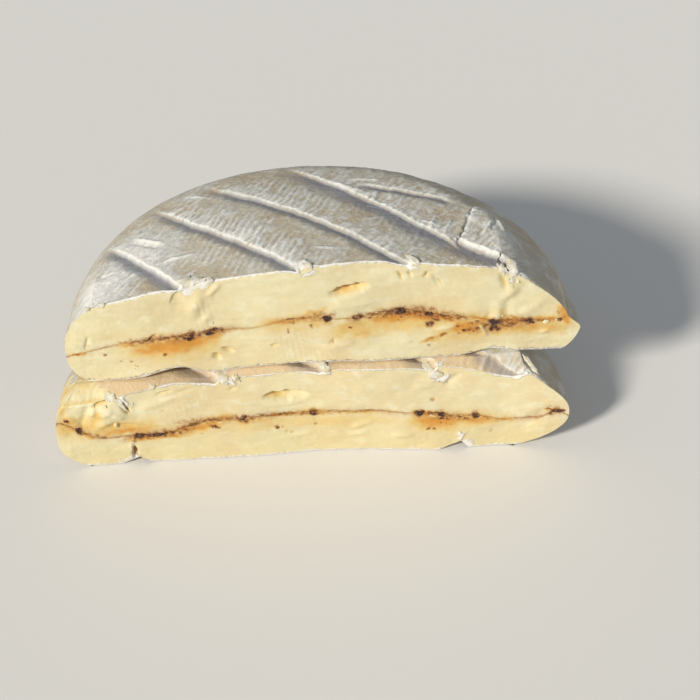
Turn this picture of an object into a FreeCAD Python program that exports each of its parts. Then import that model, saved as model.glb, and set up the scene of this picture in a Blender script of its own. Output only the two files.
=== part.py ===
"""Calvados camembert: one soft cheese cut in two across its middle, the two half rounds stacked.

The cheese was split level before it was cut and spread with a thin spiced filling, so each half round
is three solids: a base layer, the filling and a top layer.  The rind carries the draining mat's
grooves, above and below.  The soft paste sags: every level is crowned, lowest at the rim, and the
lower half has spread a little under the upper one.

Millimetres, +Z up.  X runs along the cut, the cut faces look towards -Y, and the origin is the bottom
centre of the whole stack's bounding box.
"""
import FreeCAD, Part
import math
import os
from FreeCAD import Vector

# The round cheese that both halves were cut from.
CHEESE_RADIUS = 56.0
LOWER_SPREAD = 1.1             # how much further the lower half's rim has spread
UPPER_SHIFT_X = -1.0           # where each half's own middle lies; the origin is set at the end
LOWER_SHIFT_X = -4.2           # the lower half lies a little to the left of the upper one
LOWER_SHIFT_Y = -3.5           # and a little nearer, so a strip of its rind shows
UPPER_FACE_BULGE = 1.5         # how far the middle of the upper cut face swells forward
LOWER_FACE_FLARE = 1.5         # how far the ends of the lower cut face stand forward of its middle
LOWER_FACE_LEAN = 1.0          # how far the top of the lower cut face leans back
LOWER_EDGE_SLOPE = 0.55        # fall per mm of the lower rind where it shows in front of the upper half

# Layer thicknesses over the middle of the round.
LOWER_BASE_LAYER = 10.8
LOWER_TOP_LAYER = 13.6
UPPER_BASE_LAYER = 12.6
UPPER_TOP_LAYER = 14.0
FILLING_THICKNESS = 1.0

# How far each level would fall from its crest to the widest line of the rim, and where along X and Y
# the crest lies, measured from the middle of its half.
LOWER_FILLING_FALL = 2.0
LOWER_FILLING_CREST = (10.0, 0.0)
SEAM_FALL = 2.0
SEAM_CREST = (24.0, 0.0)
UPPER_FILLING_FALL = 6.0
UPPER_FILLING_CREST = (10.0, 0.0)
TOP_FALL = 9.0
TOP_CREST = (9.0, -5.6)

# The rim's round profile: how far it has drawn in at a half's top and base, and the power of the curve
# that takes it there from the widest line (2 is a parabola, more is squarer, less is slanted).
UPPER_TOP_INSET_LEFT = 6.5
UPPER_TOP_INSET_RIGHT = 15.0
UPPER_BASE_INSET = 4.5
LOWER_TOP_INSET_LEFT = 8.0
LOWER_TOP_INSET_RIGHT = 9.0
LOWER_BASE_INSET_LEFT = 6.5
LOWER_BASE_INSET_RIGHT = 12.0
RIM_POWER = 2.5
SLUMPED_RIM_POWER = 1.6        # the upper half's top right
PRESSED_RIM_POWER = 2.0        # the lower half's right

# Beside the cut the rim has drawn in further than it has further round, or swollen if negative.
UPPER_TUCK_RIGHT = 3.0
UPPER_TUCK_START = -3.0        # measured up from the filling
UPPER_TUCK_RISE = 4.0          # height over which it comes on
LOWER_TUCK_LEFT = -2.0
LOWER_TUCK_RIGHT = 3.5
LOWER_TUCK_START = 2.0
LOWER_TUCK_RISE = 11.0
TUCK_SPREAD = 16.0             # degrees of rim over which it fades away

# The mat's grooves in the rind, sawtooth in section: a long slope, then a short steep wall.
GROOVE_ANGLE = -44.0           # degrees from +X, seen from above
GROOVE_DEPTH = 1.9
GROOVE_SLOPE_WIDTH = 3.6
GROOVE_WALL_WIDTH = 1.3
UPPER_GROOVES = (-27.0, -4.0, 20.0, 40.0, 55.0)      # where they meet the cut face, along X
LOWER_GROOVES = (-26.0, -4.0, 23.0, 44.0)
BASE_GROOVES = (-42.0, 33.0)

# Unevenness: (waves round the rim, height, phase) and (waves per 100 mm in x, in y, height, phase).
RIM_WAVES = ((2, 0.4, 0.4), (3, 0.9, -0.25), (5, 0.3, 0.9))
TOP_WAVES = ((1.7, 1.1, 0.3, 1.7),)
SEAM_WAVES = ((1.5, 1.2, 0.3, 2.4),)
LOWER_FILLING_WAVES = ((1.15, 0.4, 1.5, 1.6),)
UPPER_FILLING_WAVES = ((1.9, 0.8, 0.8, 0.14),)
FACE_WAVES = ((2.0, 1.6, 0.35, 0.8), (3.0, 1.1, 0.15, 2.6))

# How finely the curved surfaces are sampled, and how far the levels reach past the cheese.
RIM_SAMPLES = 24
RIM_STATIONS = 12
FACE_SAMPLES = 10
LEVEL_STEPS_X = 12
LEVEL_STEPS_Y = 7
REACH = 12.0


class Level:
    """A crowned, slightly wavy surface between two layers: its height over x and y."""

    def __init__(self, middle, fall, crest, waves, centre, radius):
        self.middle = middle
        self.fall = fall
        self.crest_x = centre[0] + crest[0]
        self.crest_y = centre[1] + crest[1]
        self.waves = waves
        self.radius = radius

    def crown(self, x, y):
        """The level without its ripple."""
        return self.middle - self.fall * ((x - self.crest_x) ** 2 + (y - self.crest_y) ** 2) / self.radius ** 2

    def height(self, x, y):
        """The level with its ripple."""
        return self.crown(x, y) + sum(a * math.sin(2 * math.pi * (kx * x + ky * y) / 100 + phase)
                                      for kx, ky, a, phase in self.waves)

    def raised(self, step):
        """The same level, a step higher."""
        copy = Level(self.middle + step, self.fall, (0, 0), self.waves, (self.crest_x, self.crest_y),
                     self.radius)
        return copy


class Tuck:
    """How the rim draws in beside the cut, from a height near the filling upward."""

    def __init__(self, left, right, start, rise):
        self.left = left
        self.right = right
        self.start = start
        self.rise = rise

    def depth(self, angle, above_filling):
        """How far the rim has drawn in at an angle and a height above the filling."""
        share = min(1.0, max(0.0, (above_filling - self.start) / self.rise))
        spread = math.radians(TUCK_SPREAD)
        ends = (self.right * math.exp(-(angle / spread) ** 2)
                + self.left * math.exp(-((math.pi - angle) / spread) ** 2))
        return share * share * (3 - 2 * share) * ends


class Corner:
    """One corner of the rim's profile: how far it has drawn in, and the power of the curve to it."""

    def __init__(self, inset, power=RIM_POWER):
        self.inset = inset
        self.power = power

    def toward(self, other, share):
        """A corner part of the way to another one."""
        return Corner(self.inset + (other.inset - self.inset) * share,
                      self.power + (other.power - self.power) * share)


class HalfRound:
    """One half of the cheese: where it lies, its levels, and the rim that they end at."""

    def __init__(self, name, centre, radius, floor, filling, top, base_corners, top_corners, tuck, face_y):
        self.name = name
        self.face_y = face_y
        self.centre_x, self.centre_y = centre
        self.radius = radius
        self.floor = floor
        self.filling = filling
        self.top = top
        self.base_corners = base_corners
        self.top_corners = top_corners
        self.tuck = tuck

    def rim_point(self, angle, inward):
        """A point over the rim's widest line, or the given distance in from it."""
        reach = self.radius - inward
        return self.centre_x + reach * math.cos(angle), self.centre_y + reach * math.sin(angle)

    def widest(self, angle):
        """Height of the rim's widest line, which is where the filling ends."""
        return self.filling.crown(*self.rim_point(angle, 0)) + FILLING_THICKNESS / 2

    def rim_radius(self, angle, height):
        """Distance from the middle of the round to the rim, at an angle and a height."""
        widest = self.widest(angle)
        outline = self.radius + sum(a * math.cos(k * angle + phase) for k, a, phase in RIM_WAVES)
        outline -= self.tuck.depth(angle, height - widest)
        left, right = self.top_corners if height >= widest else self.base_corners
        level = self.top if height >= widest else self.floor
        corner = left.toward(right, (1 + math.cos(angle)) / 2)
        shoulder = level.crown(*self.rim_point(angle, corner.inset))
        share = (height - widest) / (shoulder - widest)
        if share > 1:
            return outline - corner.inset * (1 + corner.power * (share - 1))
        return outline - corner.inset * share ** corner.power


def curve_through(points):
    """A smooth edge through points."""
    curve = Part.BSplineCurve()
    curve.interpolate(Points=points)
    return curve.toShape()


def cut_angle(half, height, side):
    """Angle at which the rim meets the cut face at a height, on the right (0) or the left (pi)."""
    angle = side
    for _ in range(12):
        radius = half.rim_radius(angle, height)
        y = half.face_y(half.centre_x + radius * math.cos(angle), height)
        lean = math.asin((y - half.centre_y) / radius)
        angle = lean if side == 0 else math.pi - lean
    return angle


def section(half, height):
    """Outline of the half at a height: round the rim from right to left, then back along the cut."""
    start = cut_angle(half, height, 0)
    end = cut_angle(half, height, math.pi)
    rim = []
    for i in range(RIM_SAMPLES + 1):
        angle = start + (end - start) * i / RIM_SAMPLES
        radius = half.rim_radius(angle, height)
        rim.append(Vector(half.centre_x + radius * math.cos(angle),
                          half.centre_y + radius * math.sin(angle), height))
    left, right = rim[-1], rim[0]
    cut = [left]
    for i in range(1, FACE_SAMPLES):
        x = left.x + (right.x - left.x) * i / FACE_SAMPLES
        cut.append(Vector(x, half.face_y(x, height), height))
    cut.append(right)
    return Part.Wire([curve_through(rim), curve_through(cut)])


def half_block(half):
    """The half round with its curved rim and cut face, flat well above its top and below its floor."""
    low = half.floor.middle - half.floor.fall - 2.0
    high = half.top.middle + 2.0
    heights = [low + (high - low) * i / RIM_STATIONS for i in range(RIM_STATIONS + 1)]
    return Part.makeLoft([section(half, height) for height in heights], True, False)


def level_reach():
    """How far every level reaches to the left, right and back, past both halves."""
    return CHEESE_RADIUS + LOWER_SPREAD + abs(LOWER_SHIFT_X) + REACH


def flat_face(z):
    """The flat ground as a face under the whole stack."""
    reach = level_reach()
    return Part.makePlane(2 * reach, 2 * reach, Vector(-reach, -reach, z))


def level_face(height):
    """A level, given as z over x and y, as a face that reaches past both halves on all sides."""
    reach = level_reach()
    xs = [-reach + 2 * reach * i / LEVEL_STEPS_X for i in range(LEVEL_STEPS_X + 1)]
    ys = [-2 * REACH + (reach + 2 * REACH) * j / LEVEL_STEPS_Y for j in range(LEVEL_STEPS_Y + 1)]
    surface = Part.BSplineSurface()
    surface.interpolate([[Vector(x, y, height(x, y)) for y in ys] for x in xs])
    return surface.toShape()


def cut_at_faces(block, faces):
    """The pieces of a block between faces that cross it, from the lowest to the highest."""
    pieces, _ = block.generalFuse(faces)
    return sorted(pieces.Solids, key=lambda piece: piece.CenterOfMass.z)


def face_ripple(x, z):
    """The slight waves that the knife leaves in a cut face."""
    return sum(a * math.sin(2 * math.pi * (kx * x + kz * z) / 100 + phase)
               for kx, kz, a, phase in FACE_WAVES)


def upper_face(x, z):
    """y of the upper cut face: its middle swells forward."""
    share = min(1.0, abs(x - UPPER_SHIFT_X) / CHEESE_RADIUS)
    return -UPPER_FACE_BULGE * (1 - share ** 2) + face_ripple(x, z)


def lower_face(x, z):
    """y of the lower cut face: its ends flare forward and its top leans back."""
    height = LOWER_BASE_LAYER + FILLING_THICKNESS + LOWER_TOP_LAYER
    up = max(0.0, min(1.0, z / height))
    out = min(1.0, abs(x - LOWER_SHIFT_X) / CHEESE_RADIUS)
    return LOWER_SHIFT_Y - LOWER_FACE_FLARE * out ** 2 + LOWER_FACE_LEAN * up ** 2 + face_ripple(
        x + CHEESE_RADIUS, z)


def groove_profile(radius, depth):
    """The sawtooth groove section at a radius from the turning axis, across the groove."""
    clear = 3.0
    slope = GROOVE_SLOPE_WIDTH / depth
    wall = GROOVE_WALL_WIDTH / depth
    rise = depth + clear
    corners = [Vector(-slope * rise, 0, radius + clear), Vector(0, 0, radius - depth),
               Vector(wall * rise, 0, radius + clear)]
    return Part.Face(Part.makePolygon(corners + corners[:1]))


def top_grooves(half, starts):
    """Grooves along the crowned top: each section turns about an axis below, so it follows the crown."""
    level = half.top
    radius = half.radius ** 2 / (2 * level.fall)
    swing = math.degrees(2.4 * half.radius / radius)
    turn = math.radians(GROOVE_ANGLE)
    across = Vector(-math.sin(turn), math.cos(turn), 0)
    crest = Vector(level.crest_x, level.crest_y, 0)
    cutters = []
    for start in starts:
        offset = (Vector(start, 0, 0) - crest).dot(across)
        lowered = level.fall * (offset / half.radius) ** 2
        groove = groove_profile(radius, GROOVE_DEPTH)
        groove.rotate(Vector(), Vector(1, 0, 0), -swing / 2)
        groove = groove.revolve(Vector(), Vector(1, 0, 0), swing)
        groove.rotate(Vector(), Vector(0, 0, 1), GROOVE_ANGLE + 90)
        groove.translate(crest + across * offset + Vector(0, 0, level.middle - lowered - radius))
        cutters.append(groove)
    return cutters


def base_grooves(half, starts):
    """Straight grooves across the underside, on the opposite slant to the top's."""
    cutters = []
    for start in starts:
        groove = groove_profile(0, GROOVE_DEPTH).extrude(Vector(0, 4 * half.radius, 0))
        groove.translate(Vector(0, -2 * half.radius, 0))
        groove.rotate(Vector(), Vector(0, 1, 0), 180)
        groove.rotate(Vector(), Vector(0, 0, 1), -GROOVE_ANGLE + 90)
        groove.translate(Vector(start, half.centre_y, half.floor.middle))
        cutters.append(groove)
    return cutters


def build():
    """All six solids, before they are moved onto the origin."""
    lower_at = (LOWER_SHIFT_X, LOWER_SHIFT_Y)
    upper_at = (UPPER_SHIFT_X, 0.0)
    lower_radius = CHEESE_RADIUS + LOWER_SPREAD
    seam_z = LOWER_BASE_LAYER + FILLING_THICKNESS + LOWER_TOP_LAYER
    upper_filling_z = seam_z + UPPER_BASE_LAYER
    top_z = upper_filling_z + FILLING_THICKNESS + UPPER_TOP_LAYER
    ground = Level(0.0, 0.0, (0, 0), (), lower_at, lower_radius)
    lower_filling = Level(LOWER_BASE_LAYER, LOWER_FILLING_FALL, LOWER_FILLING_CREST,
                          LOWER_FILLING_WAVES, lower_at, lower_radius)
    seam = Level(seam_z, SEAM_FALL, SEAM_CREST, SEAM_WAVES, upper_at, CHEESE_RADIUS)
    upper_filling = Level(upper_filling_z, UPPER_FILLING_FALL, UPPER_FILLING_CREST,
                          UPPER_FILLING_WAVES, upper_at, CHEESE_RADIUS)
    top = Level(top_z, TOP_FALL, TOP_CREST, TOP_WAVES, upper_at, CHEESE_RADIUS)
    lower = HalfRound("lower", lower_at, lower_radius, ground, lower_filling, seam,
                      (Corner(LOWER_BASE_INSET_LEFT), Corner(LOWER_BASE_INSET_RIGHT, PRESSED_RIM_POWER)),
                      (Corner(LOWER_TOP_INSET_LEFT), Corner(LOWER_TOP_INSET_RIGHT, PRESSED_RIM_POWER)),
                      Tuck(LOWER_TUCK_LEFT, LOWER_TUCK_RIGHT, LOWER_TUCK_START, LOWER_TUCK_RISE), lower_face)
    upper = HalfRound("upper", upper_at, CHEESE_RADIUS, seam, upper_filling, top,
                      (Corner(UPPER_BASE_INSET), Corner(UPPER_BASE_INSET)),
                      (Corner(UPPER_TOP_INSET_LEFT), Corner(UPPER_TOP_INSET_RIGHT, SLUMPED_RIM_POWER)),
                      Tuck(0.0, UPPER_TUCK_RIGHT, UPPER_TUCK_START, UPPER_TUCK_RISE), upper_face)

    def fallen_edge(x, y):
        """The lower rind in front of the upper half, where nothing holds it level."""
        edge = upper_face(x, seam_z)
        return seam.height(x, edge) + LOWER_EDGE_SLOPE * (y - edge)

    solids = {}
    seam_face = level_face(seam.height)
    for half, floor_face, top_face in ((lower, flat_face(0.0), seam_face),
                                       (upper, seam_face, level_face(top.height))):
        filling_faces = [level_face(half.filling.height),
                         level_face(half.filling.raised(FILLING_THICKNESS).height)]
        pieces = cut_at_faces(half_block(half), [floor_face] + filling_faces + [top_face])
        solids[half.name + "_bottom_layer"] = pieces[1]
        solids[half.name + "_filling"] = pieces[2]
        solids[half.name + "_top_layer"] = pieces[3]

    edged = cut_at_faces(solids["lower_top_layer"], [level_face(fallen_edge)])
    solids["lower_top_layer"] = edged[0]
    for half, starts in ((lower, LOWER_GROOVES), (upper, UPPER_GROOVES)):
        name = half.name + "_top_layer"
        for groove in top_grooves(half, starts):
            solids[name] = solids[name].cut(groove)
    for groove in base_grooves(lower, BASE_GROOVES):
        solids["lower_bottom_layer"] = solids["lower_bottom_layer"].cut(groove)
    return solids


def place_on_origin(solids):
    """Moves all solids together so that the origin is the bottom centre of their bounding box."""
    box = FreeCAD.BoundBox()
    for solid in solids.values():
        box.add(solid.optimalBoundingBox(False, False))
    move = Vector(-(box.XMin + box.XMax) / 2, -(box.YMin + box.YMax) / 2, -box.ZMin)
    for solid in solids.values():
        solid.translate(move)
    return move, box


def main():
    os.makedirs("parts", exist_ok=True)
    solids = build()
    move, box = place_on_origin(solids)
    print("moved by", tuple(round(v, 3) for v in move))
    print("size", round(box.XLength, 2), round(box.YLength, 2), round(box.ZLength, 2))
    for name, shape in solids.items():
        pieces = shape.Solids
        print(name, "solids", len(pieces), "valid", shape.isValid(), "volume", round(shape.Volume),
              "faces", len(shape.Faces))
        shape.exportStep("parts/" + name + ".step")


main()
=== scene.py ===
"""Calvados camembert: the two stacked half rounds with their bloomy rind, cut paste and spiced filling.

Every length in the dataclasses is in millimetres, and becomes metres when a mesh is made.  Positions
are measured from the middle of the round that each half was cut from, and the whole is then laid over
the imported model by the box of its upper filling.
"""
import logging
import math
from dataclasses import dataclass, field
from enum import Enum
from typing import Callable, Sequence

import bmesh
import bpy
import numpy as np
from mathutils import Matrix, Vector


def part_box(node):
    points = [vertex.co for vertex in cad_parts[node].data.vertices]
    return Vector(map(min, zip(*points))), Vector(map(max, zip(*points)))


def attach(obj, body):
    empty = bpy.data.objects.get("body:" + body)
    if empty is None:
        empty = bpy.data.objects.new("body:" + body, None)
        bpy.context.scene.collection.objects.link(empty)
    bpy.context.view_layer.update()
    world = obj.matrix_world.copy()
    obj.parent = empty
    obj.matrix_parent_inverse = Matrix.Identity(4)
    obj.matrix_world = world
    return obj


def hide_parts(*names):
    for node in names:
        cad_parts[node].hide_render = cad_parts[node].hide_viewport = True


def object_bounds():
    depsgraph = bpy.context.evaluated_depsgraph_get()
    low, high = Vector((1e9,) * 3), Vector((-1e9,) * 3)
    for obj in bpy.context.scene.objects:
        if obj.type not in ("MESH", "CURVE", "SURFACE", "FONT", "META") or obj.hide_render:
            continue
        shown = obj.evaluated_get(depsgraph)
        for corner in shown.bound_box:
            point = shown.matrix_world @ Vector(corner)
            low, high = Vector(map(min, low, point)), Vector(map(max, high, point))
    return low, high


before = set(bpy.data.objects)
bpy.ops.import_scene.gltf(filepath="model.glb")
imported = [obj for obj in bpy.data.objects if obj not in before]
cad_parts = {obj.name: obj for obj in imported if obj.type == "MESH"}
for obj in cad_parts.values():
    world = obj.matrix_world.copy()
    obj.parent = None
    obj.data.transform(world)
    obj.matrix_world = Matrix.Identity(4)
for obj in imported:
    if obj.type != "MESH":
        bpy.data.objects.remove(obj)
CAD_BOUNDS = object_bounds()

logging.basicConfig(level=logging.INFO, format="%(message)s")
LOG = logging.getLogger("camembert")
MM = 0.001
Array = np.ndarray
Point = tuple[float, float]
Masks = dict[str, Array]
Surface = Callable[[Array, Array], Array]
Material, Tree, Node, Socket = (bpy.types.Material, bpy.types.NodeTree, bpy.types.Node, bpy.types.NodeSocket)


# ---- Plain maths ----
class Noise:
    """Smooth seeded noise over two coordinates, about -1 to 1."""

    SLOPES = 512
    GAIN = 1.6

    def __init__(self, seed: int) -> None:
        """Fills the lattice of random slopes."""
        rng = np.random.default_rng(seed)
        self.table = rng.permutation(self.SLOPES)
        angle = rng.uniform(0, 2 * math.pi, self.SLOPES)
        self.slope = np.stack([np.cos(angle), np.sin(angle)], -1)

    def _corner(self, ix: Array, iy: Array, dx: Array, dy: Array) -> Array:
        """The pull of one lattice corner."""
        pick = self.table[(self.table[ix % self.SLOPES] + iy) % self.SLOPES]
        return self.slope[pick, 0] * dx + self.slope[pick, 1] * dy

    def at(self, x: Array, y: Array, size: float) -> Array:
        """Samples the noise.

        Args:
            x: first coordinate.
            y: second coordinate.
            size: length of one lattice step, in the same unit.

        Returns:
            Noise of about -1 to 1, of the same shape as x.
        """
        x, y = np.broadcast_arrays(np.asarray(x, float) / size, np.asarray(y, float) / size)
        ix, iy = np.floor(x).astype(int), np.floor(y).astype(int)
        fx, fy = x - ix, y - iy
        ux, uy = fx ** 3 * (fx * (fx * 6 - 15) + 10), fy ** 3 * (fy * (fy * 6 - 15) + 10)
        low = self._corner(ix, iy, fx, fy) * (1 - ux) + self._corner(ix + 1, iy, fx - 1, fy) * ux
        high = (self._corner(ix, iy + 1, fx, fy - 1) * (1 - ux)
                + self._corner(ix + 1, iy + 1, fx - 1, fy - 1) * ux)
        return self.GAIN * (low * (1 - uy) + high * uy)

    def layered(self, x: Array, y: Array, size: float, octaves: int = 3) -> Array:
        """Sum of ever finer noise, each octave half the size and half the height."""
        return sum(self.at(x, y, size / 2 ** k) / 2 ** k for k in range(octaves))


def ramp(value: Array, low: float, high: float) -> Array:
    """Smooth step from 0 at low to 1 at high."""
    share = np.clip((np.asarray(value, float) - low) / (high - low), 0, 1)
    return share * share * (3 - 2 * share)


def window(value: Array, rise: Point, fall: Point) -> Array:
    """Smooth step up over the first two values and down again over the last two."""
    return ramp(value, *rise) * ramp(-value, -fall[1], -fall[0])


def bell(value: Array, width: float) -> Array:
    """Smooth hump of height 1 around 0, down to a third at the width."""
    return np.exp(-(value / width) ** 2)


def hill(value: Array, middle: float, half_width: float) -> Array:
    """Smooth hump of height 1 that fades out at about the half width."""
    return bell(np.asarray(value, float) - middle, 0.6 * half_width)


def unit(value: Array) -> Array:
    """Keeps a value between 0 and 1."""
    return np.clip(value, 0, 1)


def turned(x: Array, y: Array, degrees: float) -> tuple[Array, Array]:
    """Coordinates along a direction and across it."""
    turn = math.radians(degrees)
    return x * math.cos(turn) + y * math.sin(turn), y * math.cos(turn) - x * math.sin(turn)


def past_line(x: Array, y: Array, start: Point, end: Point) -> tuple[Array, Array]:
    """Distance to the right of a line, and the share of the way along it."""
    dx, dy = end[0] - start[0], end[1] - start[1]
    length = math.hypot(dx, dy)
    along = ((x - start[0]) * dx + (y - start[1]) * dy) / length
    return ((x - start[0]) * dy - (y - start[1]) * dx) / length, along / length


def tube_quads(rows: int, loop: int) -> Array:
    """Corner numbers of the quads between loops of points that lie one behind the other."""
    i, k = np.meshgrid(np.arange(rows - 1), np.arange(loop), indexing="ij")
    ahead = (k + 1) % loop
    return np.stack([i * loop + k, i * loop + ahead, (i + 1) * loop + ahead, (i + 1) * loop + k],
                    -1).reshape(-1, 4)


def several(kind: type, *rows: Sequence[float]) -> tuple:
    """Makes one object of a kind from each row of its values, in the order of the kind's fields."""
    return tuple(kind(*row) for row in rows)


@dataclass(frozen=True)
class Rough:
    """One seeded unevenness: height, size of its patches, octaves, and its coordinates' stretch and shift."""

    height: float
    size: float
    octaves: int
    stretch: Point = (1, 1)
    shift: Point = (0, 0)

    def at(self, noise: Noise, x: Array, y: Array) -> Array:
        """Samples the unevenness."""
        return self.height * noise.layered(x * self.stretch[0] + self.shift[0],
                                           y * self.stretch[1] + self.shift[1], self.size, self.octaves)


# ---- The cheese's form ----
@dataclass(frozen=True)
class Wave:
    """One ripple of a level: waves per 100 mm along x and y, height in mm, phase."""

    along_x: float
    along_y: float
    height: float
    phase: float

    def at(self, x: Array, y: Array) -> Array:
        """Height of the ripple."""
        turn = 2 * math.pi * (self.along_x * x + self.along_y * y) / 100
        return self.height * np.sin(turn + self.phase)


@dataclass(frozen=True)
class Level:
    """A crowned surface between two layers."""

    middle: float
    fall: float
    crest: Point
    radius: float
    waves: tuple[Wave, ...] = ()

    def crown(self, x: Array, y: Array) -> Array:
        """Height of the level without its ripple."""
        away = (x - self.crest[0]) ** 2 + (y - self.crest[1]) ** 2
        return self.middle - self.fall * away / self.radius ** 2

    def at(self, x: Array, y: Array) -> Array:
        """Height of the level."""
        return self.crown(x, y) + sum(wave.at(x, y) for wave in self.waves)


@dataclass(frozen=True)
class Corner:
    """One corner of the rim's profile: how far it draws in, and the power of the curve to it."""

    inset: float
    power: float = 2.5


@dataclass(frozen=True)
class Tuck:
    """How the rim draws in beside the cut, from a height near the filling upward."""

    left: float
    right: float
    start: float
    rise: float
    spread_deg: float = 16.0

    def depth(self, angle: Array, above_filling: Array) -> Array:
        """How far the rim has drawn in at an angle and a height above the filling."""
        spread = math.radians(self.spread_deg)
        ends = self.right * bell(angle, spread) + self.left * bell(math.pi - angle, spread)
        return ends * ramp(above_filling, self.start, self.start + self.rise)


@dataclass(frozen=True)
class HalfRound:
    """One half of the cheese: its middle, its levels, its rim and its cut face."""

    middle: Point
    radius: float
    floor: Level
    filling: Level
    top: Level
    base_corners: tuple[Corner, Corner]
    top_corners: tuple[Corner, Corner]
    tuck: Tuck
    face: Surface
    filling_thickness: float = 1.0
    rim_waves: tuple[tuple[int, float, float], ...] = ((2, 0.4, 0.4), (3, 0.9, -0.25), (5, 0.3, 0.9))

    def around(self, angle: Array, reach: Array) -> tuple[Array, Array]:
        """Point in a direction from the middle, at a distance."""
        return self.middle[0] + reach * np.cos(angle), self.middle[1] + reach * np.sin(angle)

    def rim_at(self, angle: Array, inward: Array) -> tuple[Array, Array]:
        """Point over the rim's widest line, or some way in from it."""
        return self.around(angle, self.radius - inward)

    def filling_middle(self, x: Array, y: Array) -> Array:
        """Height of the filling's middle."""
        return self.filling.at(x, y) + self.filling_thickness / 2

    def widest(self, angle: Array) -> Array:
        """Height of the rim's widest line."""
        return self.filling.crown(*self.rim_at(angle, 0.0)) + self.filling_thickness / 2

    def rim_radius(self, angle: Array, z: Array) -> Array:
        """Distance from the middle to the rim.

        Args:
            angle: direction from the middle, 0 to the right, half a turn to the left.
            z: height.

        Returns:
            The rim's radius there.
        """
        right = (1 + np.cos(angle)) / 2
        widest = self.widest(angle)
        outline = self.radius + sum(a * np.cos(k * angle + phase) for k, a, phase in self.rim_waves)
        outline = outline - self.tuck.depth(angle, z - widest)
        drawn = []
        for level, (at_left, at_right) in ((self.top, self.top_corners), (self.floor, self.base_corners)):
            inset = at_left.inset + (at_right.inset - at_left.inset) * right
            power = at_left.power + (at_right.power - at_left.power) * right
            shoulder = level.crown(*self.rim_at(angle, inset))
            share = np.clip((z - widest) / (shoulder - widest), 0, None)
            drawn.append(inset * np.where(share > 1, 1 + power * (share - 1), np.minimum(share, 1) ** power))
        return outline - np.where(z >= widest, drawn[0], drawn[1])


# ---- Meshes ----
class MeshMaker:
    """Turns arrays of points in millimetres into Blender objects in the model's frame."""

    def __init__(self, shift: tuple[float, float, float]) -> None:
        """Remembers where the cheese's own middle lies in the frame, in mm."""
        self.shift = np.array(shift)

    def make(self, name: str, points: Array, faces: Sequence[Sequence[int]] | Array, masks: Masks,
             material: Material, weld: float = 0.0005, sharp_deg: float = 62.0) -> bpy.types.Object:
        """Builds one object.

        Args:
            name: the object's name.
            points: (n, 3) points in mm.
            faces: (m, 4) or (m, 3) corner numbers, or a list of corner lists.
            masks: named values, one for each point.
            material: the finish.
            weld: points nearer than this, in mm, become one.
            sharp_deg: edges that turn by more than this stay crisp.

        Returns:
            The linked object.
        """
        mesh = bpy.data.meshes.new(name)
        verts = (points + self.shift) * MM
        mesh.from_pydata(verts.tolist(), [], [list(map(int, f)) for f in faces])
        for key, values in masks.items():
            layer = mesh.attributes.new(key, "FLOAT", "POINT")
            layer.data.foreach_set("value", np.ascontiguousarray(values, dtype=np.float32))
        cleaner = bmesh.new()
        cleaner.from_mesh(mesh)
        bmesh.ops.remove_doubles(cleaner, verts=cleaner.verts, dist=weld * MM)
        bmesh.ops.dissolve_degenerate(cleaner, edges=cleaner.edges, dist=weld * MM * 0.5)
        bmesh.ops.recalc_face_normals(cleaner, faces=cleaner.faces)
        cleaner.to_mesh(mesh)
        cleaner.free()
        mesh.polygons.foreach_set("use_smooth", np.ones(len(mesh.polygons), dtype=bool))
        mesh.set_sharp_from_angle(angle=math.radians(sharp_deg))
        mesh.materials.append(material)
        piece = bpy.data.objects.new(name, mesh)
        bpy.context.scene.collection.objects.link(piece)
        return piece


# ---- Relief ----
@dataclass(frozen=True)
class Groove:
    """One of the draining mat's grooves, from the cut to the back: a long fall, then a steep wall.

    The wall is on the side away from the cut, and ends in a raised lip.  Bow is how far the groove's
    middle bends away from the cut, and start is the share of its length at which it begins.
    """

    front: Point
    back: Point
    bow: float = 0.0
    depth: float = 1.8
    slope_width: float = 4.0
    wall_width: float = 1.1
    lip: float = 0.35
    white_width: float = 1.0
    start: float = -1.0

    def offset(self, x: Array, y: Array) -> tuple[Array, Array]:
        """Distance past the groove's lowest line, and the share of the way from front to back."""
        past, share = past_line(x, y, self.front, self.back)
        near = np.clip(share, -0.3, 1.3)
        return past - self.bow * 4 * near * (1 - near), share

    def reach(self, share: Array) -> Array:
        """How much of the groove's depth there is at a share of its length."""
        return ramp(1.12 - share, 0.0, 0.25) * ramp(share, self.start - 0.06, self.start + 0.06)

    def beyond(self, off: Array) -> Array:
        """Distance past the top of the wall, 0 before it."""
        return np.clip(off - self.wall_width, 0, None)


@dataclass(frozen=True)
class Welt:
    """A short raised or sunken streak in a surface, or a lump if it is as wide as it is long."""

    x: float
    y: float
    length: float
    width: float
    height: float
    turn_deg: float = 0.0

    def local(self, x: Array, y: Array) -> tuple[Array, Array]:
        """Coordinates along and across the streak, 1 at its ends and sides."""
        along, across = turned(x - self.x, y - self.y, self.turn_deg)
        return along / (0.5 * self.length), across / (0.5 * self.width)

    def share(self, x: Array, y: Array) -> Array:
        """How much of the streak's height there is at a point, 0 to 1."""
        along, across = self.local(x, y)
        return np.exp(-(along ** 4 + across ** 2 * 1.4))


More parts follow.
